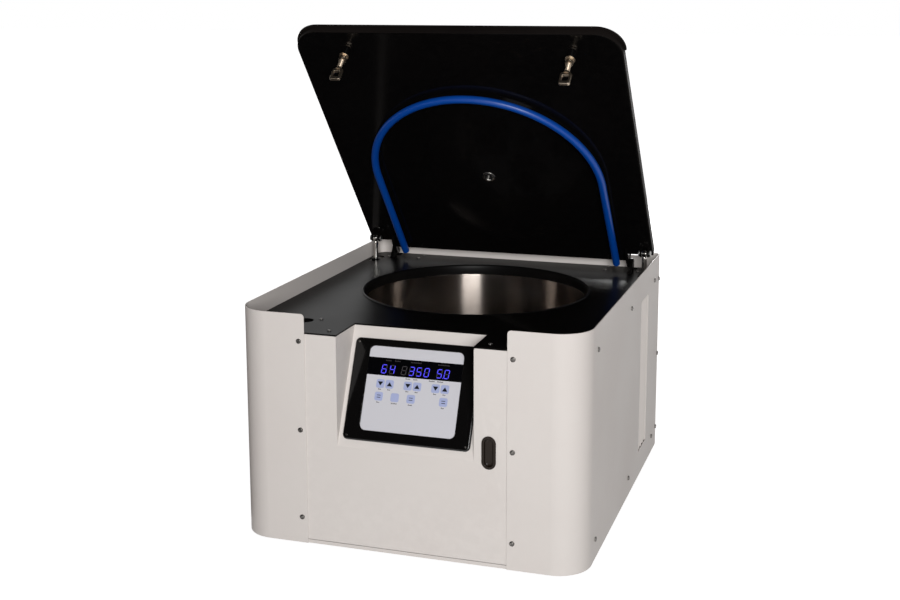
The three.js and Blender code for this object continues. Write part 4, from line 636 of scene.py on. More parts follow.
def draw_face(points):
    """Draws a closed line and fills it with one face."""
    draw(points, closed=True)
    spots = [Vector(point) for point in points]
    pick(lambda v: not v.link_faces
         and min((v.co - spot).length for spot in spots) < TOUCH, "VERT")
    bpy.ops.mesh.edge_face_add()


def draw_rounded(x0, x1, y0, y1, corner, z=0.0, segments=6):
    """Draws a rectangle with round corners in the mesh being edited."""
    bpy.ops.mesh.select_all(action="DESELECT")
    bpy.ops.mesh.select_mode(type="VERT")
    centre = ((x0 + x1) / 2, (y0 + y1) / 2, z)
    bpy.ops.mesh.primitive_plane_add(size=1, location=centre)
    bpy.ops.transform.resize(value=(x1 - x0, y1 - y0, 1), center_override=centre)
    bpy.ops.mesh.bevel(offset=corner, affect="VERTICES", segments=segments, offset_type="OFFSET")
    bpy.ops.mesh.delete(type="ONLY_FACE")


def draw_ring(x, y, radius, z=0.0, vertices=48):
    """Draws a circle in the mesh being edited."""
    bpy.ops.mesh.select_all(action="DESELECT")
    bpy.ops.mesh.primitive_circle_add(vertices=vertices, radius=radius, location=(x, y, z))


def fill_lines():
    """Fills the drawn lines, leaving the inner ones open, with as few faces as it can."""
    select_all()
    bpy.ops.mesh.fill(use_beauty=True)
    select_all()
    bpy.ops.mesh.dissolve_limited(angle_limit=0.01)


def thicken(height):
    """Pulls a filled sheet up into a solid."""
    select_all()
    pull(0, 0, height)
    face_outwards()


def raise_lines(height):
    """Fills the drawn lines and pulls the sheet up into a solid."""
    fill_lines()
    thicken(height)


def arc(x, y, radius, start, end, steps):
    """Points round an arc, from start to end in degrees."""
    angles = [math.radians(start + (end - start) * k / steps) for k in range(steps + 1)]
    return [(x + radius * math.cos(a), y + radius * math.sin(a)) for a in angles]


def flat(points, z=0.0):
    """Sets flat points at a height."""
    return [(x, y, z) for x, y in points]


def mm(*points):
    """Points given in millimetres."""
    return [tuple(part * MM for part in point) for point in points]


def seat(piece, place=(0, 0, 0), turn=(0, 0, 0), scale=(1, 1, 1)):
    """Puts the piece in its place and keeps that in its mesh."""
    end_piece(piece)
    piece.location = place
    piece.rotation_euler = turn
    piece.scale = scale
    bpy.ops.object.transform_apply(location=True, rotation=True, scale=True)
    return piece


def lean(piece, matrix):
    """Turns a finished mesh by a matrix and keeps that in its mesh."""
    end_piece(piece)
    piece.matrix_world = matrix
    bpy.ops.object.transform_apply(location=True, rotation=True, scale=True)
    return piece


def modify(piece, kind, **settings):
    """Adds a modifier and applies it."""
    end_piece(piece)
    modifier = piece.modifiers.new(kind.title(), kind)
    for label, value in settings.items():
        setattr(modifier, label, value)
    bpy.ops.object.modifier_apply(modifier=modifier.name)
    return piece


def give_wall(piece):
    """Gives an open sheet its thickness, inwards."""
    return modify(piece, "SOLIDIFY", thickness=sizes().sheet, offset=-1, use_even_offset=True)


def combine(piece, others, operation):
    """Adds the other solids to the piece, or cuts them out of it."""
    for other in others:
        modify(piece, "BOOLEAN", operation=operation, object=other, solver="EXACT")
        bpy.data.objects.remove(other)
    return piece


def carve(piece, *cutters):
    return combine(piece, cutters, "DIFFERENCE")


def fuse(piece, *others):
    return combine(piece, others, "UNION")


def soften(piece, width, segments=2, angle=35.0):
    """Rounds the hard edges and evens out the shading."""
    if width > 0:
        modify(piece, "BEVEL", width=width, segments=segments, limit_method="ANGLE",
               angle_limit=math.radians(angle), use_clamp_overlap=True,
               miter_outer="MITER_ARC")
    end_piece(piece)
    bpy.ops.object.shade_smooth_by_angle(angle=math.radians(40))
    modify(piece, "WEIGHTED_NORMAL", keep_sharp=True, weight=80)
    return piece


def copy_piece(piece, name, place=(0, 0, 0), turn=(0, 0, 0), scale=(1, 1, 1)):
    """Copies a piece with its own mesh, turned and then moved."""
    end_piece(piece)
    bpy.ops.object.duplicate(linked=False)
    twin = bpy.context.object
    twin.name = name
    twin.data.name = name
    return seat(twin, place, turn, scale)


def join(pieces, name):
    """Joins pieces into the first of them."""
    end_piece(pieces[0])
    for piece in pieces:
        piece.select_set(True)
    bpy.ops.object.join()
    whole = bpy.context.object
    whole.name = name
    whole.data.name = name
    return whole


def block(name, low, high, edge=0.0):
    """A block from its lowest to its highest corner, with rounded edges."""
    centre = [(a + b) / 2 for a, b in zip(low, high)]
    piece = start_piece(name, bpy.ops.mesh.primitive_cube_add, size=1, location=centre)
    bpy.ops.transform.resize(value=[b - a for a, b in zip(low, high)], center_override=centre)
    if edge > 0:
        round_edges(edge, 2)
    return seat(piece, centre)


def turned(name, profile, centre=(0, 0), steps=96, closed=True):
    """Spins a profile of (radius, height) points about an upright axis."""
    piece = start_piece(name)
    draw([(radius, 0, z) for radius, z in profile], closed=closed)
    select_all()
    bpy.ops.mesh.spin(steps=steps, angle=2 * math.pi, center=(0, 0, 0), axis=(0, 0, 1))
    weld()
    face_outwards()
    return seat(piece, (centre[0], centre[1], 0))


def rod(name, radius, length, vertices=32, edge=0.0):
    """A round bar that stands on the origin, with rounded ends."""
    piece = start_piece(name, bpy.ops.mesh.primitive_cylinder_add, vertices=vertices,
                        radius=radius, depth=length, location=(0, 0, length / 2))
    if edge > 0:
        pick(lambda e: abs(e.verts[0].co.z - e.verts[1].co.z) < MM / 100, "EDGE")
        round_edges(edge, 3)
    return seat(piece, (0, 0, length / 2))


def paint(piece, *names):
    """Gives the piece its finishes in place of any that it has."""
    piece.data.materials.clear()
    for name in names:
        piece.data.materials.append(FINISHES[name])
    return piece


def dress(piece, finish_name, slot, body, *nodes):
    """Paints the piece, hides the CAD nodes that it takes the place of and makes it ride on its
    body.
    """
    if finish_name:
        paint(piece, finish_name)
    if nodes:
        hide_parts(*nodes)
    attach(piece, body)


def screw(name="screw"):
    """A button head screw with a hexagon socket, pointing up."""
    radius = sizes().screw_radius
    height = sizes().screw_height
    head = start_piece(name, bpy.ops.mesh.primitive_cylinder_add, vertices=30, radius=radius,
                       depth=height, location=(0, 0, height / 2))
    pick(lambda f: f.normal.z > 0.9)
    bpy.ops.mesh.inset(thickness=radius * 0.2)
    pick(lambda e: all(v.co.z > height * 0.4 for v in e.verts)
         and all(v.co.xy.length > radius * 0.95 for v in e.verts), "EDGE")
    round_edges(height * 0.6, 4)
    seat(head, (0, 0, height / 2))
    socket = start_piece("socket", bpy.ops.mesh.primitive_cylinder_add, vertices=6,
                         radius=radius * 0.42, depth=height, location=(0, 0, height * 1.05))
    seat(socket, (0, 0, height * 1.05))
    carve(head, socket)
    soften(head, 0.12 * MM, segments=1)
    return head


def screws(name, places, body, share=1.0):
    """One screw, copied to every (place, turn)."""
    first = screw(name + "_first")
    copies = [copy_piece(first, f"{name}_{k}", place, turn, (share,) * 3)
              for k, (place, turn) in enumerate(places)]
    bpy.data.objects.remove(first)
    whole = join(copies, name)
    dress(whole, "socket_steel", "zinc", body)


# Cabinet pieces

def open_sheet_outwards(away_from):
    """Makes the normals of an open sheet point away from a spot."""
    face_outwards()
    cage = bmesh.from_edit_mesh(bpy.context.edit_object.data)
    spot = Vector(away_from)
    total = sum(f.calc_area() * f.normal.dot((f.calc_center_median() - spot).normalized())
                for f in cage.faces)
    if total < 0:
        bpy.ops.mesh.flip_normals()


def side_panel(word, side):
    """One side of the cabinet: front flange, large corner, flat side and rear flange."""
    corner = sizes().front_corner
    points = [(FLANGE_X, -HALF_DEPTH)]
    points += arc(HALF_WIDTH - corner, -HALF_DEPTH + corner, corner, -90, 0, 18)
    points += arc(HALF_WIDTH - REAR_CORNER, HALF_DEPTH - REAR_CORNER, REAR_CORNER, 0, 90, 8)
    points += [(REAR_FLANGE_X, HALF_DEPTH)]
    panel = start_piece(f"side_panel_{word}")
    draw([(side * x, y, PANEL_FOOT) for x, y in points])
    select_all()
    pull(0, 0, PANEL_TOP - PANEL_FOOT)
    pick(lambda v: abs(v.co.x - side * FLANGE_X) < MM / 10 and v.co.z > PANEL_TOP - MM, "VERT")
    bpy.ops.mesh.bevel(offset=FLANGE_ROUND, affect="VERTICES", segments=6)
    open_sheet_outwards((side * 100 * MM, 0, 170 * MM))
    give_wall(panel)
    if side > 0:
        front, rear, foot, top = VENT
        carve(panel, block("vent_window", (240 * MM, front, foot), (260 * MM, rear, top)))
    soften(panel, sizes().edge, angle=50)
    inside = HALF_WIDTH - sizes().sheet
    deep, half = 2 * MM, 13 * MM
    low, high = sorted((side * inside, side * (inside - deep)))
    y, z = STRUT_FOOT.y - half, STRUT_FOOT.z - half
    pad = block("strut_stud_pad", (low, y, z), (high, y + 2 * half, z + 2 * half), 0.5 * MM)
    stud = rod("strut_stud", 4 * MM, 22 * MM, 28, 0.5 * MM)
    seat(stud, (side * inside, STRUT_FOOT.y, STRUT_FOOT.z), (0, -side * math.pi / 2, 0))
    panel = join([panel, soften(pad, 0), soften(stud, 0)], f"side_panel_{word}")
    dress(panel, "cabinet_paint", "cabinet_paint", "cabinet", f"{word}_side_panel")


def vent_slats():
    """Upright blades in the window of the right side panel, turned to face the front."""
    front, rear, foot, top = VENT
    pitch = (rear - front) / SLAT_COUNT
    chord = pitch * SLAT_OVERLAP / math.cos(SLAT_ANGLE)
    blade = block("vent_blade", (-SLAT_HALF, -chord / 2, 0),
                  (SLAT_HALF, chord / 2, top - foot + 1.0 * MM), 0.25 * MM)
    x = HALF_WIDTH - sizes().sheet - chord * math.sin(SLAT_ANGLE) / 2
    blades = [copy_piece(blade, f"vent_blade_{k}", (x, front + (k + 0.5) * pitch, foot - 0.5 * MM),
                         (0, 0, -SLAT_ANGLE)) for k in range(SLAT_COUNT)]
    bpy.data.objects.remove(blade)
    whole = soften(join(blades, "vent_slats"), 0)
    dress(whole, "cabinet_paint", "cabinet_paint", "cabinet")


def cabinet_screws():
    """Every screw head that shows on the side panels."""
    for word, side in SIDES:
        turn_side = TURN_RIGHT if side > 0 else TURN_LEFT
        places = [((side * FRONT_SCREW_X, -HALF_DEPTH, z), TURN_FRONT) for z in FLANGE_SCREW_Z]
        places += [((side * REAR_SCREW_X, HALF_DEPTH, z), TURN_REAR) for z in FLANGE_SCREW_Z]
        places += [((side * HALF_WIDTH, y, z), turn_side)
                   for y in SIDE_SCREW_Y for z in SIDE_SCREW_Z]
        places += [((side * HALF_WIDTH, LAST_SCREW_Y, z), turn_side) for z in LAST_SCREW_Z]
        screws(f"panel_screws_{word}", places, "cabinet")


def front_panel():
    """The front sheet with its sloping recess, cheeks and oval hole, drawn lying flat."""
    panel = start_piece("front_panel_sheet")
    corner, top = 3 * MM, FACE_TOP
    points = [(-FACE_HALF, FACE_FOOT), (FACE_HALF, FACE_FOOT), (FACE_HALF, top)]
    points += arc(RECESS_HALF + corner, top - corner, corner, 90, 180, 5)
    points += [(RECESS_HALF, RECESS_FOOT), (-RECESS_HALF, RECESS_FOOT)]
    points += arc(-RECESS_HALF - corner, top - corner, corner, 0, 90, 5)
    points += [(-FACE_HALF, top)]
    draw(flat(points), closed=True)
    half_x, half_z = OVAL_HALF
    draw_rounded(OVAL_X - half_x, OVAL_X + half_x, OVAL_Z - half_z, OVAL_Z + half_z,
                 7.99 * MM, segments=10)
    fill_lines()
    back = -RECESS_LENGTH * math.sin(RECESS_TILT)
    for side in (-1, 1):
        x = side * RECESS_HALF
        draw_face([(x, RECESS_FOOT, 0), (x, top - corner, 0), (x, top, -corner), (x, top, back)])
    draw_face([(-RECESS_HALF, RECESS_FOOT, 0), (RECESS_HALF, RECESS_FOOT, 0),
               (RECESS_HALF, top, back), (-RECESS_HALF, top, back)])
    weld()
    open_sheet_outwards((0, 0.15, -1.0))
    near = 0.1 * MM

    def folded(edge):
        spot = middle(edge)
        return (len(edge.link_faces) == 2 and edge.calc_face_angle(0) > 0.3
                and (abs(abs(spot.x) - RECESS_HALF) < near or abs(spot.y - RECESS_FOOT) < near))

    pick(folded, "EDGE")
    bpy.ops.mesh.bevel(offset=2.2 * MM, segments=5, affect="EDGES", clamp_overlap=True)
    seat(panel, (0, FACE_Y, 0), TURN_FRONT)
    give_wall(panel)
    soften(panel, sizes().edge * 0.7, angle=55)
    dress(panel, "cabinet_paint", "cabinet_paint", "cabinet", "front_panel")


def deck():
    """The black top sheet with the bowl's hole, the notch over the keys and its slots."""
    sheet = start_piece("deck_sheet")
    half, front, rear, radius = 248.1 * MM, -283.1 * MM, 281.4 * MM, 45.1 * MM
    notch, notch_y = 97.5 * MM, -213.5 * MM
    points = [(-notch, notch_y), (-notch, front)]
    points += arc(-half + radius, front + radius, radius, 270, 180, 12)
    points += [(-half, rear - REAR_CORNER), (-half + REAR_CORNER, rear)]
    points += [(half - REAR_CORNER, rear), (half, rear - REAR_CORNER)]
    points += arc(half - radius, front + radius, radius, 0, -90, 12)
    points += [(notch, front), (notch, notch_y)]
    draw(flat(points, DECK_UNDER), closed=True)
    draw_ring(*BOWL, DECK_HOLE, DECK_UNDER, 128)
    # Slots: place across, half the width, front, rear and corner
    hinge_slot = (209 * MM, 5.5 * MM, 228 * MM, 277 * MM, 5.49 * MM)
    strut_slot = (STRUT_X, 9 * MM, 199 * MM, 245 * MM, 8.99 * MM)
    for side in (-1, 1):
        draw_ring(side * STRIKER[0], STRIKER[1], 12 * MM, DECK_UNDER, 32)
        for x, wide, y0, y1, corner in (hinge_slot, strut_slot):
            draw_rounded(side * x - wide, side * x + wide, y0, y1, corner, DECK_UNDER)
    raise_lines(DECK_TOP - DECK_UNDER)
    soften(sheet, 0.35 * MM, angle=50)
    foot, top, outside = BOWL_RIM + 0.3 * MM, DECK_UNDER + MM / 2, DECK_HOLE + 2 * MM
    collar = turned("deck_collar", [(DECK_HOLE, foot), (outside, foot), (outside, top),
                                    (DECK_HOLE, top)], BOWL, 128)
    parts = [sheet, soften(collar, 0)]
    for side in (-1, 1):
        low, high = sorted((side * half, side * (half - sizes().sheet)))
        flange = block("deck_flange", (low, -225 * MM, 297 * MM), (high, 221.4 * MM, top),
                       0.3 * MM)
        parts.append(soften(flange, 0))
    dress(join(parts, "deck_sheet"), "black_paint", "black_paint", "cabinet", "deck")
    places = [((side * x * MM, y * MM, DECK_TOP), (0, 0, 0))
              for side in (-1, 1) for x, y in DECK_SCREWS]
    screws("deck_screws", places, "cabinet", 0.75)


def base_tray():
    """The floor tray with its low front lip and higher walls at the back."""
    tray = start_piece("base_tray_sheet")
    half, front, rear, radius = 248.2 * MM, -283.2 * MM, 281.4 * MM, 45.2 * MM
    lip, wall = 5 * MM, 33 * MM
    points = arc(-half + radius, front + radius, radius, 180, 270, 12)
    points += arc(half - radius, front + radius, radius, 270, 360, 12)
    points += [(half, rear - REAR_CORNER), (half - REAR_CORNER, rear)]
    points += [(-half + REAR_CORNER, rear), (-half, rear - REAR_CORNER)]
    draw_face(flat(points, PANEL_FOOT))
    pick(lambda e: e.is_boundary, "EDGE")
    pull(0, 0, lip)
    pick(lambda e: all(v.co.z > PANEL_FOOT + MM for v in e.verts)
         and middle(e).y > front + radius + MM, "EDGE")
    pull(0, 0, wall)
    open_sheet_outwards((0, 0, 200 * MM))
    give_wall(tray)
    soften(tray, 0.4 * MM, angle=50)
    dress(tray, "cabinet_paint", "cabinet_paint", "cabinet", "base_tray")


def rear_panel():
    """The rear sheet with the fan's slots and the hole for the power entry."""
    panel = start_piece("rear_panel_sheet")
    half, top, foot = 236 * MM, 332.5 * MM, 10.3 * MM
    draw_rounded(-half, half, -top, -foot, 2 * MM, 0, 4)
    x, z = ENTRY
    draw_rounded(x - 25 * MM, x + 25 * MM, -z - 11 * MM, -z + 11 * MM, 1.5 * MM, 0, 4)
    x, z = FAN
    pitch = 2 * FAN_BORE / FAN_SLOTS
    for k in range(FAN_SLOTS):
        offset = (k + 0.5) * pitch - FAN_BORE
        reach = math.sqrt(FAN_BORE ** 2 - offset ** 2) - 2 * MM
        level = -z + offset
        draw_rounded(x - reach, x + reach, level - 2 * MM, level + 2 * MM, 1.99 * MM, 0, 6)
    raise_lines(sizes().sheet)
    soften(panel, 0.35 * MM, angle=50)
    seat(panel, (0, REAR_FACE - sizes().sheet, 0), TURN_REAR)
    dress(panel, "cabinet_paint", "cabinet_paint", "cabinet", "rear_panel")
    places = [((x + dx * FAN_HOLE, REAR_FACE, z + dz * FAN_HOLE), TURN_REAR)
              for dx in (-1, 1) for dz in (-1, 1)]
    screws("fan_screws", places, "cabinet", 0.7)


def fan():
    """The fan's frame with three bars across it and its round core."""
    top = FAN_REAR - FAN_FRONT
    shell = start_piece("fan_frame")
    draw_rounded(-FAN_HALF, FAN_HALF, -FAN_HALF, FAN_HALF, 5 * MM, 0, 6)
    draw_ring(0, 0, FAN_BORE, 0, 72)
    for dx in (-1, 1):
        for dy in (-1, 1):
            draw_ring(dx * FAN_HOLE, dy * FAN_HOLE, 2.2 * MM, 0, 16)
    raise_lines(top)
    parts = [soften(shell, 0.5 * MM, angle=50)]
    reach, half = 43.4 * MM, 2.5 * MM
    for k in range(3):
        bar = block("fan_spoke", (-reach, -half, top - 4 * MM), (reach, half, top - 0.2 * MM),
                    0.8 * MM)
        parts.append(soften(seat(bar, turn=(0, 0, math.pi * k / 3)), 0))
    core = rod("fan_core", 17 * MM, 5 * MM, 48, 0.8 * MM)
    parts.append(soften(seat(core, (0, 0, top - 5 * MM)), 0))
    whole = seat(join(parts, "fan_frame"), (FAN[0], FAN_FRONT, FAN[1]), TURN_REAR)
    dress(whole, "dull_plastic", "black_plastic", "cabinet", "fan_housing")


def fan_wheel():
    """The fan's wheel: a hub with curved blades, one of them modelled and then copied."""
    hub = soften(rod("fan_hub", 18 * MM, 16 * MM, 48, 1.5 * MM), 0)
    blade = start_piece("fan_blade")
    half, camber, thick, steps = 8.5 * MM, 2.2 * MM, 0.9 * MM, 8
    across = [2 * k / steps - 1 for k in range(steps + 1)]
    upper = [(camber * (1 - t * t) + thick * (1 - 0.6 * abs(t)), t * half) for t in across]
    lower = [(camber * (1 - t * t) - thick * (1 - 0.6 * abs(t)), t * half)
             for t in reversed(across)]
    draw_face(flat(upper + lower, 9 * MM))
    thicken(31.5 * MM)
    soften(blade, 0.25 * MM, angle=50)
    seat(blade, turn=(0, 0, math.radians(40)))
    parts = [hub]
    for k in range(FAN_BLADES):
        parts.append(copy_piece(blade, f"fan_blade_{k}", (0, FAN_WHEEL_Y, 0),
                                (0, 2 * math.pi * k / FAN_BLADES, 0)))
    bpy.data.objects.remove(blade)
    seat(hub, (0, FAN_WHEEL_Y - 8 * MM, 0), TURN_REAR)
    whole = seat(join(parts, "fan_wheel"), (FAN[0], 0, FAN[1]))
    dress(whole, "dull_plastic", "black_plastic", "fan", "fan_impeller")


def power_entry():
    """The mains inlet with its pins and the seat of the rocker switch."""
    x, z = ENTRY
    flange = start_piece("entry_flange")
    draw_rounded(-29 * MM, 29 * MM, -15 * MM, 15 * MM, 2.5 * MM, 0, 5)
    raise_lines(1.5 * MM)
    seat(flange, (x, ENTRY_FACE - 1.5 * MM, z), TURN_REAR)
    half_x, half_z = 24.7 * MM, 10.7 * MM
    fuse(flange, block("entry_body", (x - half_x, ENTRY_FACE - 30 * MM, z - half_z),
                       (x + half_x, ENTRY_FACE - 0.7 * MM, z + half_z)))
    pocket = start_piece("inlet_pocket")
    draw_face(flat(mm((-12.5, 8.5), (-12.5, -4.5), (-8.5, -8.5), (8.5, -8.5), (12.5, -4.5),
                      (12.5, 8.5))))
    thicken(24 * MM)
    seat(pocket, (INLET_X, ENTRY_FACE - 18 * MM, z), TURN_REAR)
    half_x, half_z = 6.8 * MM, 10.6 * MM
    hollow = block("rocker_seat", (ROCKER_X - half_x, ENTRY_FACE - 12 * MM, z - half_z),
                   (ROCKER_X + half_x, ENTRY_FACE + 5 * MM, z + half_z))
    carve(flange, pocket, hollow)
    soften(flange, 0.35 * MM, angle=50)
    flange.name = flange.data.name = "mains_inlet"
    dress(flange, "dull_plastic", "black_plastic", "cabinet", "power_entry")
    pins, half_z = [], 2.5 * MM
    for k in (-1, 0, 1):
        pin_x, pin_z = INLET_X + k * 7 * MM, z + (2 * MM if k == 0 else -2 * MM)
        pins.append(block("inlet_pin", (pin_x - MM, ENTRY_FACE - 18.2 * MM, pin_z - half_z),
                          (pin_x + MM, ENTRY_FACE - 5 * MM, pin_z + half_z), 0.4 * MM))
    dress(soften(join(pins, "inlet_pins"), 0), "chrome", "chrome", "cabinet")


def mains_rocker():
    """The rocker with its worn edges and its two plain marks."""
    reach = 9.9 * MM
    rocker = start_piece("rocker_switch")
    draw_face(flat([(-4.5 * MM, -reach / 2), (0, -reach), (0.4 * MM, -reach),
                    (0.1 * MM, -reach * 0.5), (-0.4 * MM, 0), (0.1 * MM, reach * 0.5),
                    (0.4 * MM, reach), (0, reach), (-4.5 * MM, reach / 2)]))
    thicken(13 * MM)
    seat(rocker, (0, 0, -6.5 * MM))
    seat(rocker, turn=(math.pi / 2, 0, 0))
    seat(rocker, turn=(0, 0, math.pi / 2))
    soften(rocker, 0.5 * MM, segments=3, angle=30)
    bar = block("mark_bar", (-0.35 * MM, -2 * MM, 0), (0.35 * MM, 2 * MM, 0.1 * MM))
    ring = turned("mark_ring", mm((1.3, 0), (2.0, 0), (2.0, 0.1), (1.3, 0.1)), steps=28)
    proud, level = 0.1 * MM, 5.2 * MM
    seat(bar, (0, proud, -level), TURN_REAR)
    seat(ring, (0, proud, level), TURN_REAR)
    marks = paint(soften(join([bar, ring], "rocker_marks"), 0), "white_mark")
    paint(rocker, "dull_plastic")
    whole = join([rocker, marks], "rocker_switch")
    seat(whole, (ROCKER_X, ENTRY_FACE, ENTRY[1]), (math.radians(7), 0, 0))
    dress(whole, None, "black_plastic", "mains_rocker", "mains_rocker")


def feet():
    """Four rubber feet: one turned with a waist and a pad, then copied."""
    profile = mm((0, 0), (13.2, 0), (15.2, 0.5), (16, 1.8), (16, 3.0), (13.4, 4.2),
                 (13.0, 5.4), (13.6, 6.4), (13.6, 7.7), (0, 7.7))
    first = turned("foot_first", profile, steps=48, closed=False)
    soften(first, 0.25 * MM, angle=25)
    for end, y in (("front", -FOOT_Y), ("rear", FOOT_Y)):
        for word, side in SIDES:
            name = f"foot_{end}_{word}"
            pad = copy_piece(first, f"rubber_{name}", (side * FOOT_X, y, 0))
            dress(pad, "rubber", "rubber", "cabinet", name)
    bpy.data.objects.remove(first)


# Control panel pieces, drawn lying flat and then set on the slope

def bezel():
    """The moulded frame round the key panel, with broad soft edges, and its four screws."""
    moulding = start_piece("control_bezel_frame")
    foot, thick, top = 0.3 * MM, 4.0 * MM, 4.3 * MM
    draw_rounded(-91.5 * MM, 91.5 * MM, 10.5 * MM, 152.5 * MM, 7 * MM, foot, 8)
    draw_rounded(-68.5 * MM, 68.5 * MM, 25 * MM, 142.5 * MM, 8 * MM, foot, 8)
    raise_lines(thick)
    near = 0.1 * MM

    def outer(edge):
        spot = middle(edge)
        return (all(abs(v.co.z - top) < near for v in edge.verts)
                and edge.calc_face_angle(0) > 1.0
                and (abs(spot.x) > 80 * MM or spot.y < 18 * MM or spot.y > 147 * MM))

    def inner(edge):
        spot = middle(edge)
        return (len(edge.link_faces) == 2 and edge.calc_face_angle(0) > 1.0
                and abs(spot.x) < 70 * MM and 20 * MM < spot.y < 145 * MM and spot.z > 4 * MM)

    pick(outer, "EDGE")
    round_edges(2.4 * MM, 5)
    pick(inner, "EDGE")
    round_edges(0.7 * MM, 3)
    soften(moulding, 0)
    lean(moulding, SLOPE)
    dress(moulding, "black_plastic", "black_plastic", "cabinet", "control_bezel")
    pin = rod("bezel_screw", 1.5 * MM, 0.6 * MM, 20, 0.2 * MM)
    carve(pin, block("cross_a", *mm((-0.2, -0.9, 0.4), (0.2, 0.9, 2))),
          block("cross_b", *mm((-0.9, -0.2, 0.4), (0.9, 0.2, 2))))
    pins = [copy_piece(pin, f"bezel_screw_{x}_{t}", (x * MM, t * MM, 4.28 * MM))
            for x in (-85.5, 85.5) for t in (16.5, 146.5)]
    bpy.data.objects.remove(pin)
    whole = lean(soften(join(pins, "bezel_screws"), 0), SLOPE)
    dress(whole, "socket_steel", "zinc", "cabinet")


def fascia():
    """The printed membrane, cut across so that the band behind the digits is dark."""
    sheet = start_piece("membrane_sheet")
    draw_rounded(-68.2 * MM, 68.2 * MM, 25.3 * MM, 142.2 * MM, 7.7 * MM, 1.9 * MM, 8)
    raise_lines(1.6 * MM)
    for t in BAND:
        select_all()
        bpy.ops.mesh.bisect(plane_co=(0, t, 0), plane_no=(0, 1, 0))
    end_piece(sheet)
    paint(sheet, "fascia", "dark_window")
    for face in sheet.data.polygons:
        if BAND[0] < face.center.y < BAND[1]:
            face.material_index = 1
    soften(sheet, 0.15 * MM)
    lean(sheet, SLOPE)
    dress(sheet, None, "fascia", "cabinet", "keypad_fascia", "display_window")


def keys():
    """One embossed key and one printed arrow, copied to each place."""
    half = sizes().key_size / 2
    cap = start_piece("key_first")
    draw_rounded(-half, half, -half, half, 2.6 * MM, 2.0 * MM, 6)
    select_all()
    bpy.ops.mesh.edge_face_add()
    thicken(1.8 * MM)
    pick(lambda f: f.normal.z > 0.9)
    bpy.ops.mesh.inset(thickness=0.8 * MM)
    bpy.ops.mesh.inset(thickness=1.6 * MM)
    soften(cap, 0.25 * MM, segments=3)
    paint(cap, "key_print")
    arrow = start_piece("arrow_first")
    wide, tall, level = 3.9 * MM, 2.9 * MM, 3.8 * MM
    draw_face([(-wide, -tall, level), (wide, -tall, level), (0, tall, level)])
    thicken(0.04 * MM)
    end_piece(arrow)
    paint(arrow, "ink")
    line = block("legend_first", *mm((-2.7, -0.45, 3.8), (2.7, 0.45, 3.84)))
    paint(line, "ink")
    for name, x, t, way in KEYS:
        key = copy_piece(cap, f"cap_of_{name}", (x * MM, t * MM, 0))
        if name in LEGEND_KEYS:
            marks = [copy_piece(line, f"legend_{k}_{name}", (x * MM, (t + k * 1.5) * MM, 0))
                     for k in (-1, 1)]
            key = join([key] + marks, f"cap_of_{name}")
        if way:
            turn = (0, 0, math.pi) if way == "down" else (0, 0, 0)
            print_mark = copy_piece(arrow, f"arrow_{name}", (x * MM, t * MM, 0), turn)
            key = join([key, print_mark], f"cap_of_{name}")
        lean(key, SLOPE)
        dress(key, None, "key_print", name, name)
    for piece in (cap, arrow, line):
        bpy.data.objects.remove(piece)


def legends():
    """Rows of tiny bars where small print stands beside the keys and over the digits."""
    for name, places, look, slot in (("legends_dark", KEY_LEGENDS, "ink", "key_print"),
                                     ("legends_grey", WINDOW_LEGENDS, "unlit_segment",
                                      "dark_window")):
        bars = []
        for x, t, wide in places:
            count = max(3, round(wide / 1.4))
            step = wide / count
            for k in range(count):
                tall = MARK_HEIGHTS[k % len(MARK_HEIGHTS)]
                left = x - wide / 2 + k * step
                bars.append(block("legend", (left * MM, (t - 0.6) * MM, 3.51 * MM),
                                  ((left + 0.62 * step) * MM, (t - 0.6 + tall) * MM,
                                   3.55 * MM)))
        whole = lean(soften(join(bars, name), 0), SLOPE)
        dress(whole, look, slot, "cabinet")


def digits():
    """Seven segment digits: one bar is modelled, and copied lit or unlit."""
    tall = sizes().digit_height
    wide = tall * 0.5
    thick = tall * 0.09
    slant = math.radians(7)
    length = tall / 2 - thick * 0.35
    bar = start_piece("bar_first")
    h, t = length / 2 - thick * 0.15, thick / 2
    draw_face([(-h, 0, 0), (-h + t, -t, 0), (h - t, -t, 0), (h, 0, 0), (h - t, t, 0),
               (-h + t, t, 0)])
    thicken(0.05 * MM)
    end_piece(bar)
    half_x, half_y = wide / 2, tall / 2 - t
    places = {
        "a": (0, 2 * half_y, 0), "g": (0, half_y, 0), "d": (0, 0, 0),
        "f": (-half_x, 1.5 * half_y, 90), "b": (half_x, 1.5 * half_y, 90),
        "e": (-half_x, 0.5 * half_y, 90), "c": (half_x, 0.5 * half_y, 90),
    }
    lit, dark = [], []
    base = 111.1 * MM - half_y
    for figure, x in READOUT:
        for segment, (sx, sy, turn) in places.items():
            shift = math.tan(slant) * (sy - half_y)
            share = 0.92 if turn == 0 else half_y / length
            piece = copy_piece(bar, f"bar_{figure}_{segment}",
                               (x * MM + sx + shift, base + sy, PRINT_HEIGHT),
                               (0, 0, math.radians(turn) - (slant if turn else 0)),
                               (share * (wide / length if turn == 0 else 1), 1, 1))
            (lit if segment in SEGMENTS[figure] else dark).append(piece)
    point = copy_piece(bar, "decimal_point", (41.6 * MM, base, PRINT_HEIGHT), (0, 0, 0),
                       (thick / length, 0.9, 1))
    lit.append(point)
    bpy.data.objects.remove(bar)
    for name, pieces, look in (("digits_lit", lit, "lit_segment"),
                               ("digits_unlit", dark, "unlit_segment")):
        whole = lean(join(pieces, name), SLOPE)
        dress(whole, look, "dark_window", "cabinet")


def oval_face(half_width, half_height):
    """Draws a filled oval with straight sides."""
    draw_rounded(-half_width, half_width, -half_height, half_height,
                 half_width - 0.01 * MM, 0, 12)
    weld(0.1 * MM)
    bpy.ops.mesh.edge_face_add()


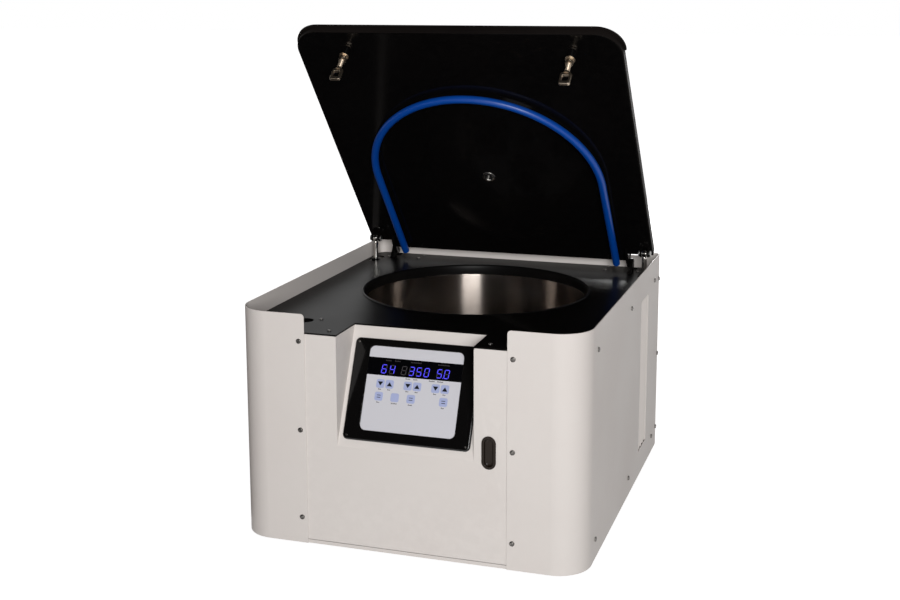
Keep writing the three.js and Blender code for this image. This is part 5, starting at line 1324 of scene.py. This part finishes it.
def oval_ring(name, half_width, half_height, wall, height):
    """An oval tube with an even wall."""
    ring = start_piece(name)
    oval_face(half_width, half_height)
    bpy.ops.mesh.inset(thickness=wall)
    bpy.ops.mesh.delete(type="FACE")
    thicken(height)
    return end_piece(ring)


def release():
    """The oval escutcheon with its sleeve, and the smoked button inside it."""
    ring = oval_ring("release_oval", 10 * MM, 23 * MM, 3.8 * MM, 1.2 * MM)
    soften(ring, 0.5 * MM, segments=3)
    seat(ring, (OVAL_X, -283.5 * MM, OVAL_Z), TURN_FRONT)
    sleeve = soften(oval_ring("release_sleeve", *OVAL_HALF, 1.8 * MM, 13 * MM), 0.3 * MM)
    seat(sleeve, (OVAL_X, -270.2 * MM, OVAL_Z), TURN_FRONT)
    whole = join([ring, sleeve], "release_oval")
    dress(whole, "smoked_plastic", "black_plastic", "cabinet", "release_escutcheon")
    button = start_piece("release_cap")
    oval_face(5.6 * MM, 18.6 * MM)
    thicken(10 * MM)
    pick(lambda f: f.normal.z > 0.9)
    rim, dish = (0.9, 0.97, 0), (0.84, 0.95, -0.7 * MM)
    for narrower, shorter, sink in (rim, dish):
        bpy.ops.mesh.extrude_region_move()
        bpy.ops.transform.resize(value=(narrower, shorter, 1))
        bpy.ops.transform.translate(value=(0, 0, sink))
    soften(button, 0.4 * MM, segments=3)
    seat(button, (OVAL_X, -272.3 * MM, OVAL_Z), TURN_FRONT)
    dress(button, "smoked_plastic", "black_plastic", "release_button", "release_button")


# Bowl pieces

def bowl():
    """The pressed steel bowl with its rim, fillet, floor and shaft collar."""
    wall = 1.2 * MM
    radius, fillet, floor = BOWL_RADIUS, 22 * MM, 150 * MM
    rim, bore, bend = BOWL_RIM, 32 * MM, 0.8 * MM
    inner = [(BOWL_FLANGE, rim), (radius + bend, rim)]
    inner += [(radius + bend - bend * math.sin(a), rim - bend * (1 - math.cos(a)))
              for a in (math.radians(d) for d in (22.5, 45, 67.5, 90))]
    inner += [(radius, 280 * MM), (radius, 240 * MM), (radius, 200 * MM)]
    inner += arc(radius - fillet, floor + fillet, fillet, 0, -90, 10)
    inner += [(80 * MM, floor), (bore + 2 * MM, floor), (bore, floor + 2 * MM),
              (bore, floor + 8 * MM)]
    outer = [(bore - wall, floor + 8 * MM), (bore - wall, floor - wall),
             (radius - fillet, floor - wall)]
    outer += arc(radius - fillet, floor + fillet, fillet + wall, -90, 0, 10)
    outer += [(radius + wall, rim - wall), (BOWL_FLANGE, rim - wall)]
    whole = turned("bowl_steel", inner + outer, BOWL, 128)
    soften(whole, 0)
    dress(whole, "stainless", "stainless", "cabinet", "bowl")


def bowl_moulding():
    """The black rubber moulding between the bowl and the deck."""
    profile = mm((173.1, 297.85), (173.0, 298.3), (173.0, 303), (173.2, 307), (173.5, 309.8),
                 (174.0, 311.8), (174.7, 312.8), (175.6, 313.35), (176.6, 313.5),
                 (177.5, 313.2), (178, 312.6), (177.6, 312.3), (174.8, 312.3),
                 (174.7, 297.85))
    whole = turned("bowl_moulding", profile, BOWL, 128)
    soften(whole, 0)
    dress(whole, "rubber", "rubber", "cabinet", "bowl_gasket")


def turn_points(points, quarter):
    """Turns flat points by quarter turns about the origin."""
    for _ in range(quarter):
        points = [(-y, x) for x, y in points]
    return points


def rotor():
    """The cross with its four pockets, hub and trunnions, and the nut on the spindle."""
    cross = start_piece("rotor_cross_casting")
    mouth = math.sqrt(ROTOR_RADIUS ** 2 - POCKET_HALF ** 2)
    edge = math.degrees(math.atan2(POCKET_HALF, mouth))
    near = POCKET_START + POCKET_CORNER
    inner = POCKET_HALF - POCKET_CORNER
    quarter = [(mouth, -POCKET_HALF)]
    quarter += arc(near, -inner, POCKET_CORNER, -90, -180, 6)
    quarter += arc(near, inner, POCKET_CORNER, 180, 90, 6)
    quarter += arc(0, 0, ROTOR_RADIUS, edge, 90 - edge, 14)[:-1]
    points = []
    for k in range(4):
        points += turn_points(quarter, k)
    draw(flat(points, ROTOR_LOW), closed=True)
    draw_ring(0, 0, HUB_BORE, ROTOR_LOW, 40)
    raise_lines(ROTOR_TOP - ROTOR_LOW)
    soften(cross, 1.4 * MM, segments=3, angle=50)
    hub = turned("rotor_hub", [(HUB_BORE, 208.3 * MM), (23 * MM, 208.3 * MM),
                               (26 * MM, 211 * MM), (26 * MM, ROTOR_LOW + MM),
                               (HUB_BORE, ROTOR_LOW + MM)], steps=64)
    ring = turned("rotor_ring", [(18 * MM, ROTOR_TOP - MM), (18 * MM, ROTOR_TOP),
                                 (18.6 * MM, ROTOR_TOP + 0.2 * MM),
                                 (24.4 * MM, ROTOR_TOP + 0.2 * MM), (25 * MM, ROTOR_TOP),
                                 (25 * MM, ROTOR_TOP - MM)], steps=64)
    parts = [cross, soften(hub, 0), soften(ring, 0)]
    pin = rod("trunnion", TRUNNION_RADIUS, 12 * MM, 28, 0.6 * MM)
    for k in range(4):
        for side in (-1, 1):
            spot = turn_points([(TRUNNION_CIRCLE, side * 25.7 * MM)], k)[0]
            turn = (-side * math.pi / 2, 0, k * math.pi / 2)
            parts.append(copy_piece(pin, "trunnion_copy", (*spot, TRUNNION_Z), turn))
    bpy.data.objects.remove(pin)
    whole = seat(join(parts, "rotor_cross_casting"), (*BOWL, 0))
    dress(whole, "cast_aluminium", "cast_aluminium", "rotor", "rotor_cross")
    nut = hexagon_nut("rotor_nut_steel", 13 * MM, 14 * MM, 6.3 * MM)
    seat(nut, (*BOWL, 240.6 * MM))
    dress(nut, "chrome", "chrome", "rotor", "rotor_nut")
    profile = mm((0, 124.6), (9.5, 124.6), (9.5, 205), (14.4, 205), (15, 205.6), (15, 207.4),
                 (14.4, 208), (9.5, 208), (9.5, 240), (6, 240.3), (6, 251.3), (5, 252.3),
                 (0, 252.3))
    shaft = turned("drive_spindle", profile, BOWL, 40, closed=False)
    soften(shaft, 0)
    dress(shaft, "zinc", "zinc", "cabinet", "spindle")


def buckets():
    """One cup with its ears and rubber cushion, copied to the four pockets."""
    outer, inner, low, top = 25 * MM, 23 * MM, -62 * MM, 14 * MM
    cup = turned("cup_first", [
        (0, low), (outer - 6 * MM, low), (outer - 1.8 * MM, low + 1.8 * MM),
        (outer, low + 6 * MM), (outer, top - 5 * MM), (outer, top - 0.6 * MM),
        (outer - 0.6 * MM, top), (inner + 0.6 * MM, top), (inner, top - 0.6 * MM),
        (inner, low + 9 * MM), (inner - 1.8 * MM, low + 4.8 * MM), (inner - 6 * MM, low + 3 * MM),
        (0, low + 3 * MM)], steps=72, closed=False)
    for side in (-1, 1):
        y0, y1 = sorted((side * 24 * MM, side * 31 * MM))
        ear = block("cup_ear", (-6.5 * MM, y0, -8.5 * MM), (6.5 * MM, y1, 8.5 * MM), 1.2 * MM)
        fuse(cup, ear)
        hole = rod("ear_hole", 4.1 * MM, 12 * MM, 28)
        seat(hole, (0, side * 25.3 * MM, 0), (-side * math.pi / 2, 0, 0))
        carve(cup, hole)
    soften(cup, 0)
    cushion = rod("cup_cushion", 22.6 * MM, 4 * MM, 48, MM)
    seat(cushion, (0, 0, low + 8.2 * MM))
    paint(cup, "cast_aluminium")
    whole = join([cup, paint(soften(cushion, 0), "rubber")], "cup_first")
    for k in range(4):
        spot = turn_points([(TRUNNION_CIRCLE, 0)], k)[0]
        name = f"bucket_{k + 1}"
        place = (BOWL[0] + spot[0], BOWL[1] + spot[1], TRUNNION_Z)
        twin = copy_piece(whole, f"cup_of_{name}", place, (0, 0, k * math.pi / 2))
        dress(twin, None, "cast_aluminium", name, name)
    bpy.data.objects.remove(whole)


# Lid pieces, drawn shut

def lid_outline(inset):
    """Round corners at the front, square cuts beside the hinges."""
    half, radius = LID_HALF - inset, LID_CORNER - inset
    front, rear = LID_FRONT + inset, LID_REAR - inset
    cut_x, cut_y = LID_CUT_X - inset, LID_CUT_Y - inset
    points = [(cut_x, rear), (-cut_x, rear), (-cut_x, cut_y), (-half, cut_y)]
    points += arc(-half + radius, front + radius, radius, 180, 270, 14)
    points += arc(half - radius, front + radius, radius, 270, 360, 14)
    points += [(half, cut_y), (cut_x, cut_y)]
    return points


def lid_shell():
    """The folded lid: a top sheet with walls, and the lip round its nose."""
    shell = start_piece("lid_shell_sheet")
    draw(flat(lid_outline(0), LID_TOP), closed=True)
    draw_ring(*BOWL, PORT_HOLE, LID_TOP, 32)
    raise_lines(LID_UNDER - LID_TOP)
    pick(lambda f: abs(f.normal.z) > 0.9 and f.calc_center_median().z < LID_UNDER + MM)
    bpy.ops.mesh.delete(type="FACE")
    open_sheet_outwards((0, 0, LID_UNDER))
    give_wall(shell)
    soften(shell, 0.5 * MM, segments=3, angle=50)
    lip = start_piece("lid_lip")
    reach, end = 2.5 * MM, LID_FRONT + 39 * MM
    outer = [(-LID_HALF - reach, end)]
    outer += arc(-LID_HALF + LID_CORNER - reach, LID_FRONT + LID_CORNER - reach, LID_CORNER,
                 180, 270, 14)
    outer += arc(LID_HALF - LID_CORNER + reach, LID_FRONT + LID_CORNER - reach, LID_CORNER,
                 270, 360, 14)
    outer += [(LID_HALF + reach, end)]
    inset = 1.4 * MM
    inner = [(LID_HALF - inset, end)]
    inner += arc(LID_HALF - LID_CORNER, LID_FRONT + LID_CORNER, LID_CORNER - inset, 360, 270, 14)
    inner += arc(-LID_HALF + LID_CORNER, LID_FRONT + LID_CORNER, LID_CORNER - inset, 270, 180, 14)
    inner += [(-LID_HALF + inset, end)]
    draw(flat(outer + inner, LID_TOP - 3.4 * MM), closed=True)
    raise_lines(3.4 * MM)
    soften(lip, 0.8 * MM, segments=3, angle=50)
    whole = lean(join([shell, lip], "lid_shell_sheet"), OPEN_LID)
    # The shell gets the lighter black, whose base colour holds a painted sheen in place of gloss
    dress(whole, "lid_shell_black_painted_sheen", "lid_black", "lid", "lid_shell")


def seal_rail():
    """The rail that holds the blue tube under the lid, bent round the bowl."""
    rail = start_piece("seal_rail")
    foot, outside, inside = 324.8 * MM, SEAL_BEND + MM, SEAL_BEND - MM
    outer = [(outside, SEAL_REAR)] + arc(*BOWL, outside, 0, -180, 48) + [(-outside, SEAL_REAR)]
    inner = [(-inside, SEAL_REAR)] + arc(*BOWL, inside, -180, 0, 48) + [(inside, SEAL_REAR)]
    draw(flat(outer + inner, foot), closed=True)
    raise_lines(LID_UNDER + MM / 2 - foot)
    return soften(rail, 0.2 * MM, angle=50)


def hinge_lug(side):
    """One of the lid's lugs with the hole for its hinge pin, cut clear of the lid's rim."""
    y, z = HINGE.y, HINGE.z
    lug = start_piece("hinge_lug")
    outline = arc(y, z, HINGE_EYE, -90, 90, 12)
    outline += [(y - 1.6 * MM, LID_UNDER + MM), (y - 34 * MM, LID_UNDER + MM)]
    outline += [(y - 34 * MM, LID_UNDER - 4.5 * MM), (y - 25 * MM, z - HINGE_EYE)]
    draw(flat(outline), closed=True)
    draw_ring(y, z, 3.3 * MM, 0, 20)
    raise_lines(4.7 * MM)
    seat(lug, turn=STAND_ACROSS)
    carve(lug, block("beside_rim", (0, 227 * MM, LID_UNDER - 0.3 * MM),
                     (250 * MM, 260 * MM, 360 * MM)))
    seat(lug, (201.5 * MM if side > 0 else -206.2 * MM, 0, 0))
    return soften(lug, 0.4 * MM, angle=50)


def strut_cheek(x):
    """A cheek beside a strut's eye, with the hole for its pin."""
    y, z = STRUT_PIN
    half, thick = 6 * MM, 3 * MM
    cheek = start_piece("strut_cheek")
    outline = arc(y, z, half, 180, 360, 14)
    outline += [(y + half, LID_UNDER + MM), (y - half, LID_UNDER + MM)]
    draw(flat(outline), closed=True)
    draw_ring(y, z, 2.8 * MM, 0, 20)
    raise_lines(thick)
    seat(cheek, (x - thick / 2, 0, 0), STAND_ACROSS)
    return soften(cheek, 0.4 * MM, angle=50)


def striker_boss(side):
    """The boss on the liner that a striker's stud passes through."""
    bore, radius, foot, top = 3.9 * MM, 6 * MM, LID_UNDER - 7 * MM, LID_UNDER + MM
    boss = turned("striker_boss", [(bore, foot), (radius, foot), (radius, top), (bore, top)],
                  (side * STRIKER[0], STRIKER[1]), 32)
    return soften(boss, 0.4 * MM, angle=50)


def lid_liner():
    """The flat inner sheet with the seal's rail, hinge lugs, strut cheeks and bosses."""
    sheet = start_piece("lid_liner_sheet")
    draw(flat(lid_outline(1.8 * MM), LID_UNDER), closed=True)
    draw_ring(*BOWL, PORT_HOLE, LID_UNDER, 32)
    raise_lines(2 * MM)
    parts = [soften(sheet, 0.3 * MM, angle=50), seal_rail()]
    for side in (-1, 1):
        parts.append(hinge_lug(side))
        for way in (-1, 1):
            parts.append(strut_cheek(side * STRUT_X + way * 6 * MM))
        parts.append(striker_boss(side))
    whole = lean(join(parts, "lid_liner_sheet"), OPEN_LID)
    dress(whole, "lid_black", "lid_black", "lid", "lid_liner")


def lid_seal():
    """The blue tube: a ring pulled down one leg, spun round the bend and pulled up the other."""
    radius = sizes().tube_radius
    z, leg_steps = 318.5 * MM, 6
    facing = (math.pi / 2, 0, 0)
    tube = start_piece("seal_tube", bpy.ops.mesh.primitive_circle_add, vertices=24, radius=radius,
                       location=(-SEAL_BEND, SEAL_REAR, z), rotation=facing)
    seat(tube, (-SEAL_BEND, SEAL_REAR, z), facing)
    bpy.ops.object.mode_set(mode="EDIT")
    select_all()
    for _ in range(leg_steps):
        pull(0, (BOWL[1] - SEAL_REAR) / leg_steps, 0)
    bpy.ops.mesh.spin(steps=72, angle=-math.pi, center=(*BOWL, z), axis=(0, 0, 1))
    cage = bmesh.from_edit_mesh(tube.data)
    if not any(v.co.x > SEAL_BEND - radius and v.select for v in cage.verts):
        raise RuntimeError("the seal tube bent the wrong way")
    for _ in range(leg_steps):
        pull(0, (SEAL_REAR - BOWL[1]) / leg_steps, 0)
    weld()
    for side in (-1, 1):
        pick(lambda e: e.is_boundary and middle(e).x * side > 0, "EDGE")
        bpy.ops.mesh.edge_face_add()
        bpy.ops.mesh.inset(thickness=1.6 * MM)
        pull(0, -8 * MM, 0)
    face_outwards()
    soften(tube, 0.5 * MM, segments=3, angle=50)
    lean(tube, OPEN_LID)
    dress(tube, "blue_tube", "blue_tube", "lid", "lid_seal")


def sight_port():
    """The bright ring of the sight port through the lid, and its dark glass."""
    under = LID_UNDER - 0.3 * MM
    face, chamfer = under - 1.4 * MM, under - 0.7 * MM
    bore, neck, rim = 6.2 * MM, 8.0 * MM, 10.5 * MM
    profile = [(bore, chamfer), (7.0 * MM, face), (9.6 * MM, face), (rim, chamfer),
               (rim, under), (neck, under), (neck, LID_TOP), (bore, LID_TOP)]
    ring = turned("port_ring", profile, BOWL, 48)
    soften(ring, 0.15 * MM, angle=50)
    lean(ring, OPEN_LID)
    dress(ring, "chrome", "chrome", "lid", "sight_port")
    glass = rod("port_glass", 6.3 * MM, 1.6 * MM, 40, 0.2 * MM)
    seat(glass, (*BOWL, LID_UNDER + 3 * MM))
    lean(soften(glass, 0), OPEN_LID)
    dress(glass, "dark_window", "chrome", "lid")


def hexagon_nut(name, radius, height, bore):
    """A hexagon nut with turned down corners, standing on the origin."""
    nut = start_piece(name, bpy.ops.mesh.primitive_cylinder_add, vertices=6, radius=radius,
                      depth=height, location=(0, 0, height / 2))
    seat(nut, (0, 0, height / 2))
    carve(nut, rod("nut_bore", bore, height * 3, 24))
    inside, outside = radius * 0.88, radius * 1.3
    crown = turned("nut_crown", [(inside, -height), (outside, -height), (outside, height * 0.3),
                                 (inside, -height * 0.04)], steps=48)
    top = turned("nut_top", [(inside, height * 1.04), (outside, height * 0.7),
                             (outside, height * 2), (inside, height * 2)], steps=48)
    carve(nut, crown, top)
    return soften(nut, 0.12 * MM, angle=25)


def thread(name, radius, low, high, pitch):
    """A threaded bar: a saw tooth profile spun round."""
    count = int((high - low) / pitch)
    step = (high - low) / count
    root = radius * 0.9
    profile = [(0, low)]
    for k in range(count):
        z = low + (high - low) * k / count
        profile += [(root, z), (radius, z + step * 0.35), (radius, z + step * 0.6)]
    profile += [(root, high), (0, high)]
    return soften(turned(name, profile, steps=24, closed=False), 0)


def strikers():
    """Each striker: a threaded stud, two nuts with a washer, and the flat eye."""
    eye = start_piece("striker_eye")
    draw_rounded(-8 * MM, 8 * MM, -11 * MM, 11 * MM, 3.2 * MM, 0, 6)
    draw_rounded(-5 * MM, 5 * MM, -5.5 * MM, 5.5 * MM, 1.0 * MM, 0, 4)
    raise_lines(5 * MM)
    soften(eye, 0.8 * MM, segments=3)
    seat(eye, (0, 2.5 * MM, 283 * MM), TURN_FRONT)
    neck = turned("striker_neck", mm((0, 292.5), (4.4, 292.8), (4.6, 295), (3.4, 297.5),
                                     (0, 297.5)), steps=28, closed=False)
    stud = thread("striker_stud", 3.6 * MM, 294 * MM, 330 * MM, 1.0 * MM)
    nut = hexagon_nut("striker_nut", 6.2 * MM, 3.4 * MM, 3.4 * MM)
    parts = [soften(neck, 0), stud]
    for foot in (317.2 * MM, 311.6 * MM):
        parts.append(copy_piece(nut, "nut_copy", (0, 0, foot)))
    bpy.data.objects.remove(nut)
    washer = turned("striker_washer", mm((3.8, 320.8), (7.4, 320.8), (7.4, 321.8),
                                         (3.8, 321.8)), steps=36)
    parts.append(soften(washer, 0.2 * MM))
    first = join([eye] + parts, "striker_first")
    for word, side in SIDES:
        whole = copy_piece(first, f"striker_of_{word}", (side * STRIKER[0], STRIKER[1], 0))
        lean(whole, OPEN_LID)
        dress(whole, "brassy_zinc", "chrome", "lid", f"striker_{word}")
    bpy.data.objects.remove(first)


def strut_pins():
    """The pin through each pair of cheeks, with a round head and a nut."""
    for word, side in SIDES:
        pin = rod("pin_bar", 2.5 * MM, 20 * MM, 24, 0.4 * MM)
        head = rod("pin_head", 5 * MM, 2.2 * MM, 28, 0.7 * MM)
        nut = hexagon_nut("pin_nut", 5 * MM, 2.2 * MM, 2.0 * MM)
        seat(nut, (0, 0, 17.8 * MM))
        whole = join([pin, head, nut], f"pin_of_strut_{word}")
        x = side * (STRUT_X - 10 * MM)
        seat(whole, (x, *STRUT_PIN), (0, side * math.pi / 2, 0))
        soften(whole, 0)
        lean(whole, OPEN_LID)
        dress(whole, "zinc", "chrome", "lid", f"strut_pin_{word}")


def hinge_brackets():
    """The plate that carries each hinge pin, with its foot under the deck."""
    y, z = HINGE.y, HINGE.z
    front, low = y - 17 * MM, 306 * MM
    for word, side in SIDES:
        upright = start_piece("bracket_plate")
        outline = arc(y, z, HINGE_EYE, -20, 170, 16)
        outline += [(front, DECK_TOP), (front, low), (y + 8 * MM, low), (y + 2 * MM, DECK_TOP)]
        draw(flat(outline), closed=True)
        raise_lines(5 * MM)
        seat(upright, (min(side * 206.5 * MM, side * 211.5 * MM), 0, 0), STAND_ACROSS)
        soften(upright, 0.5 * MM)
        left, right = sorted((side * 158 * MM, side * 225.5 * MM))
        foot = block("bracket_foot", (left, front, low), (right, 281.1 * MM, 309.7 * MM),
                     0.6 * MM)
        pin = rod("hinge_pin", 3 * MM, 10.5 * MM, 24, 0.5 * MM)
        seat(pin, (side * 201.2 * MM, y, z), (0, side * math.pi / 2, 0))
        whole = join([upright, foot, soften(pin, 0)], f"bracket_of_hinge_{word}")
        dress(whole, "black_paint", "black_paint", "cabinet", f"hinge_bracket_{word}")


def strut_cylinder(word, side):
    """A strut's black cylinder with its rolled end, and the eye on its foot."""
    top, radius = 186.1 * MM, 7.5 * MM
    groove, mouth = radius - 0.5 * MM, top - 60 * MM
    profile = [(0, 4 * MM), (6.2 * MM, 4 * MM), (radius, 6 * MM), (radius, top - 7 * MM),
               (groove, top - 6.2 * MM), (groove, top - 5 * MM), (radius, top - 4.2 * MM),
               (radius, top - 1.6 * MM), (radius - 1.6 * MM, top), (4.4 * MM, top),
               (4.3 * MM, mouth), (0, mouth)]
    body = soften(turned("strut_body", profile, steps=40, closed=False), 0)
    across = (0, math.pi / 2, 0)
    eye = rod("strut_foot_eye", 9 * MM, 15 * MM, 36, 0.8 * MM)
    seat(eye, (-7.5 * MM, 0, 0), across)
    carve(eye, seat(rod("stud_hole", 4.3 * MM, 40 * MM, 28), (-20 * MM, 0, 0), across))
    whole = join([body, soften(eye, 0)], f"cylinder_of_strut_{word}")
    lean(whole, STRUT_PLACE[side])
    dress(whole, "black_plastic", "black_plastic", f"strut_cylinder_{word}",
          f"strut_cylinder_{word}")


def strut_rod(word, side):
    """A strut's bright rod, which tapers into the ring round the lid's pin."""
    stem = turned("rod_stem", mm((0, 156.1), (4, 156.5), (4, 213.4), (3.2, 214.6), (3.0, 216.2),
                                 (0, 216.2)), steps=32, closed=False)
    ring = turned("rod_eye", mm((4.4, -3), (5.9, -3), (6.4, -2.4), (6.4, 2.4), (5.9, 3),
                                (4.4, 3)), steps=36)
    seat(ring, (0, 0, 220.8 * MM), (0, math.pi / 2, 0))
    whole = join([soften(stem, 0), soften(ring, 0)], f"rod_of_strut_{word}")
    lean(whole, STRUT_PLACE[side])
    dress(whole, "chrome", "chrome", f"strut_rod_{word}", f"strut_rod_{word}")


# Stage

def make_camera():
    """The camera at the photograph's viewing angle."""
    level = math.cos(CAMERA_PITCH)
    forward = Vector((-math.sin(CAMERA_YAW) * level, math.cos(CAMERA_YAW) * level,
                      -math.sin(CAMERA_PITCH)))
    turn = forward.to_track_quat("-Z", "Y").to_matrix() @ Matrix.Rotation(-CAMERA_ROLL, 3, "Z")
    data = bpy.data.cameras.new("camera")
    data.lens = CAMERA_LENS
    data.sensor_width = CAMERA_SENSOR
    data.shift_y = CAMERA_SHIFT
    camera = bpy.data.objects.new("camera", data)
    camera.matrix_world = Matrix.Translation(CAMERA_PLACE) @ turn.to_4x4()
    bpy.context.scene.collection.objects.link(camera)
    bpy.context.scene.camera = camera


def light(name, place, target, width, height, watts):
    """A soft box that faces the target."""
    data = bpy.data.lights.new(name, "AREA")
    data.shape = "RECTANGLE"
    data.size = width
    data.size_y = height
    data.energy = watts
    lamp = bpy.data.objects.new(name, data)
    aim = (Vector(target) - Vector(place)).to_track_quat("-Z", "Y").to_matrix().to_4x4()
    lamp.matrix_world = Matrix.Translation(place) @ aim
    bpy.context.scene.collection.objects.link(lamp)


def seen_directly(tree):
    """One where the eye, a mirror or a glass looks, and zero for soft light."""
    path = tree.nodes.new("ShaderNodeLightPath")
    glossy = math_node(tree, "MAXIMUM", path.outputs["Is Camera Ray"],
                       path.outputs["Is Glossy Ray"])
    return math_node(tree, "MAXIMUM", glossy, path.outputs["Is Transmission Ray"])


def make_world():
    """White where it is seen, and dimmer where it lights the object."""
    world = bpy.data.worlds.new("studio")
    bpy.context.scene.world = world
    world.use_nodes = True
    tree = world.node_tree
    background = tree.nodes["Background"]
    seen = seen_directly(tree)
    strength = spread(tree, seen, low=0.0, high=1.0, to_low=WORLD_LEVEL, to_high=1.0)
    tree.links.new(strength, background.inputs["Strength"])
    colour = mix_colours(tree, seen, WORLD_TINT, WHITE)
    tree.links.new(colour, background.inputs["Color"])


def make_floor():
    """A white floor that keeps a faint shadow."""
    floor = start_piece("floor", bpy.ops.mesh.primitive_plane_add, size=40, location=(0, 0, 0))
    seat(floor, (0, 0, -FLOOR_DROP))
    material = bpy.data.materials.new("floor_white")
    material.use_nodes = True
    tree = material.node_tree
    principled = tree.nodes["Principled BSDF"]
    principled.inputs["Base Color"].default_value = FLOOR_GREY
    principled.inputs["Roughness"].default_value = 0.9
    principled.inputs["Specular IOR Level"].default_value = 0.1
    principled.inputs["Emission Color"].default_value = WHITE
    place = tree.nodes.new("ShaderNodeTexCoord")
    away = tree.nodes.new("ShaderNodeVectorMath")
    away.operation = "LENGTH"
    tree.links.new(place.outputs["Object"], away.inputs[0])
    level = spread(tree, away.outputs["Value"], low=0.5, high=2.0, to_low=0.88, to_high=1.0)
    strength = math_node(tree, "MULTIPLY", seen_directly(tree), level)
    tree.links.new(strength, principled.inputs["Emission Strength"])
    floor.data.materials.clear()
    floor.data.materials.append(material)


def dark_cards():
    """Black cards in front, beside and over the object, which only reflections show."""
    for name, place, size, turn in CARDS:
        card = start_piece(name, bpy.ops.mesh.primitive_plane_add, size=1)
        seat(card, place, turn, size)
        card.visible_camera = False
        card.visible_diffuse = False
        card.visible_transmission = False
        card.visible_shadow = False
        paint(card, "ink")


def paint_cad_nodes():
    """Gives each CAD node that still shows the finish of its slot."""
    for part in frame["record"]["subparts"]:
        node = frame["nodes"][part["node"]]
        paint(node, part["material_slot"])


class CENTRIFUGE_OT_stage(bpy.types.Operator):
    """Set up the camera, the lights, the floor and the view"""

    bl_idname = "centrifuge.stage"
    bl_label = "Stage"

    def execute(self, context):
        context.scene.view_settings.view_transform = "Standard"
        make_camera()
        make_world()
        make_floor()
        for lamp in LAMPS:
            light(*lamp)
        return {"FINISHED"}


class CENTRIFUGE_OT_finishes(bpy.types.Operator):
    """Make the finishes and paint the CAD nodes that show"""

    bl_idname = "centrifuge.finishes"
    bl_label = "Finishes"

    def execute(self, context):
        make_finishes()
        paint_cad_nodes()
        dark_cards()
        return {"FINISHED"}


class CENTRIFUGE_OT_cabinet(bpy.types.Operator):
    """Model the cabinet's sheets, its vent, screws and feet"""

    bl_idname = "centrifuge.cabinet"
    bl_label = "Cabinet"

    def execute(self, context):
        for word, side in SIDES:
            side_panel(word, side)
        vent_slats()
        cabinet_screws()
        front_panel()
        base_tray()
        feet()
        return {"FINISHED"}


class CENTRIFUGE_OT_rear(bpy.types.Operator):
    """Model the rear panel, the fan and the mains inlet with its switch"""

    bl_idname = "centrifuge.rear"
    bl_label = "Rear"

    def execute(self, context):
        rear_panel()
        fan()
        fan_wheel()
        power_entry()
        mains_rocker()
        return {"FINISHED"}


class CENTRIFUGE_OT_rotor(bpy.types.Operator):
    """Model the rotor with its nut, spindle and four buckets"""

    bl_idname = "centrifuge.rotor"
    bl_label = "Rotor"

    def execute(self, context):
        rotor()
        buckets()
        return {"FINISHED"}


class CENTRIFUGE_OT_deck(bpy.types.Operator):
    """Model the deck with its hole, slots and screws"""

    bl_idname = "centrifuge.deck"
    bl_label = "Deck"

    def execute(self, context):
        deck()
        return {"FINISHED"}


class CENTRIFUGE_OT_controls(bpy.types.Operator):
    """Model the bezel, membrane, keys, digits and release button"""

    bl_idname = "centrifuge.controls"
    bl_label = "Controls"

    def execute(self, context):
        bezel()
        fascia()
        keys()
        digits()
        legends()
        release()
        return {"FINISHED"}


class CENTRIFUGE_OT_bowl(bpy.types.Operator):
    """Model the steel bowl and its rubber moulding"""

    bl_idname = "centrifuge.bowl"
    bl_label = "Bowl"

    def execute(self, context):
        bowl()
        bowl_moulding()
        return {"FINISHED"}


class CENTRIFUGE_OT_lid(bpy.types.Operator):
    """Model the lid with its liner, seal, port, strikers, hinges and struts"""

    bl_idname = "centrifuge.lid"
    bl_label = "Lid"

    def execute(self, context):
        lid_shell()
        lid_liner()
        lid_seal()
        sight_port()
        strikers()
        strut_pins()
        hinge_brackets()
        for word, side in SIDES:
            strut_cylinder(word, side)
            strut_rod(word, side)
        return {"FINISHED"}


OPERATORS = (CENTRIFUGE_OT_stage, CENTRIFUGE_OT_finishes, CENTRIFUGE_OT_cabinet,
             CENTRIFUGE_OT_rear, CENTRIFUGE_OT_deck, CENTRIFUGE_OT_controls,
             CENTRIFUGE_OT_bowl, CENTRIFUGE_OT_rotor, CENTRIFUGE_OT_lid)


class CENTRIFUGE_PT_panel(bpy.types.Panel):
    """Lists the steps in the order in which they are run"""

    bl_idname = "CENTRIFUGE_PT_panel"
    bl_label = "Centrifuge"
    bl_space_type = "VIEW_3D"
    bl_region_type = "UI"
    bl_category = "Centrifuge"

    def draw(self, context):
        for operator in OPERATORS:
            self.layout.operator(operator.bl_idname)
        for group in (context.scene.centrifuge_sizes, context.scene.centrifuge_colours):
            for label in group.bl_rna.properties.keys():
                if label not in ("rna_type", "name"):
                    self.layout.prop(group, label)


CLASSES = (CentrifugeSizes, CentrifugeColours) + OPERATORS + (CENTRIFUGE_PT_panel,)


def register():
    for item in CLASSES:
        bpy.utils.register_class(item)
    bpy.types.Scene.centrifuge_sizes = bpy.props.PointerProperty(type=CentrifugeSizes)
    bpy.types.Scene.centrifuge_colours = bpy.props.PointerProperty(type=CentrifugeColours)


def unregister():
    del bpy.types.Scene.centrifuge_colours
    del bpy.types.Scene.centrifuge_sizes
    for item in reversed(CLASSES):
        bpy.utils.unregister_class(item)


def main():
    register()
    bpy.ops.centrifuge.stage()
    bpy.ops.centrifuge.finishes()
    bpy.ops.centrifuge.cabinet()
    bpy.ops.centrifuge.rear()
    bpy.ops.centrifuge.deck()
    bpy.ops.centrifuge.controls()
    bpy.ops.centrifuge.bowl()
    bpy.ops.centrifuge.rotor()
    bpy.ops.centrifuge.lid()


if __name__ == "__main__":
    main()
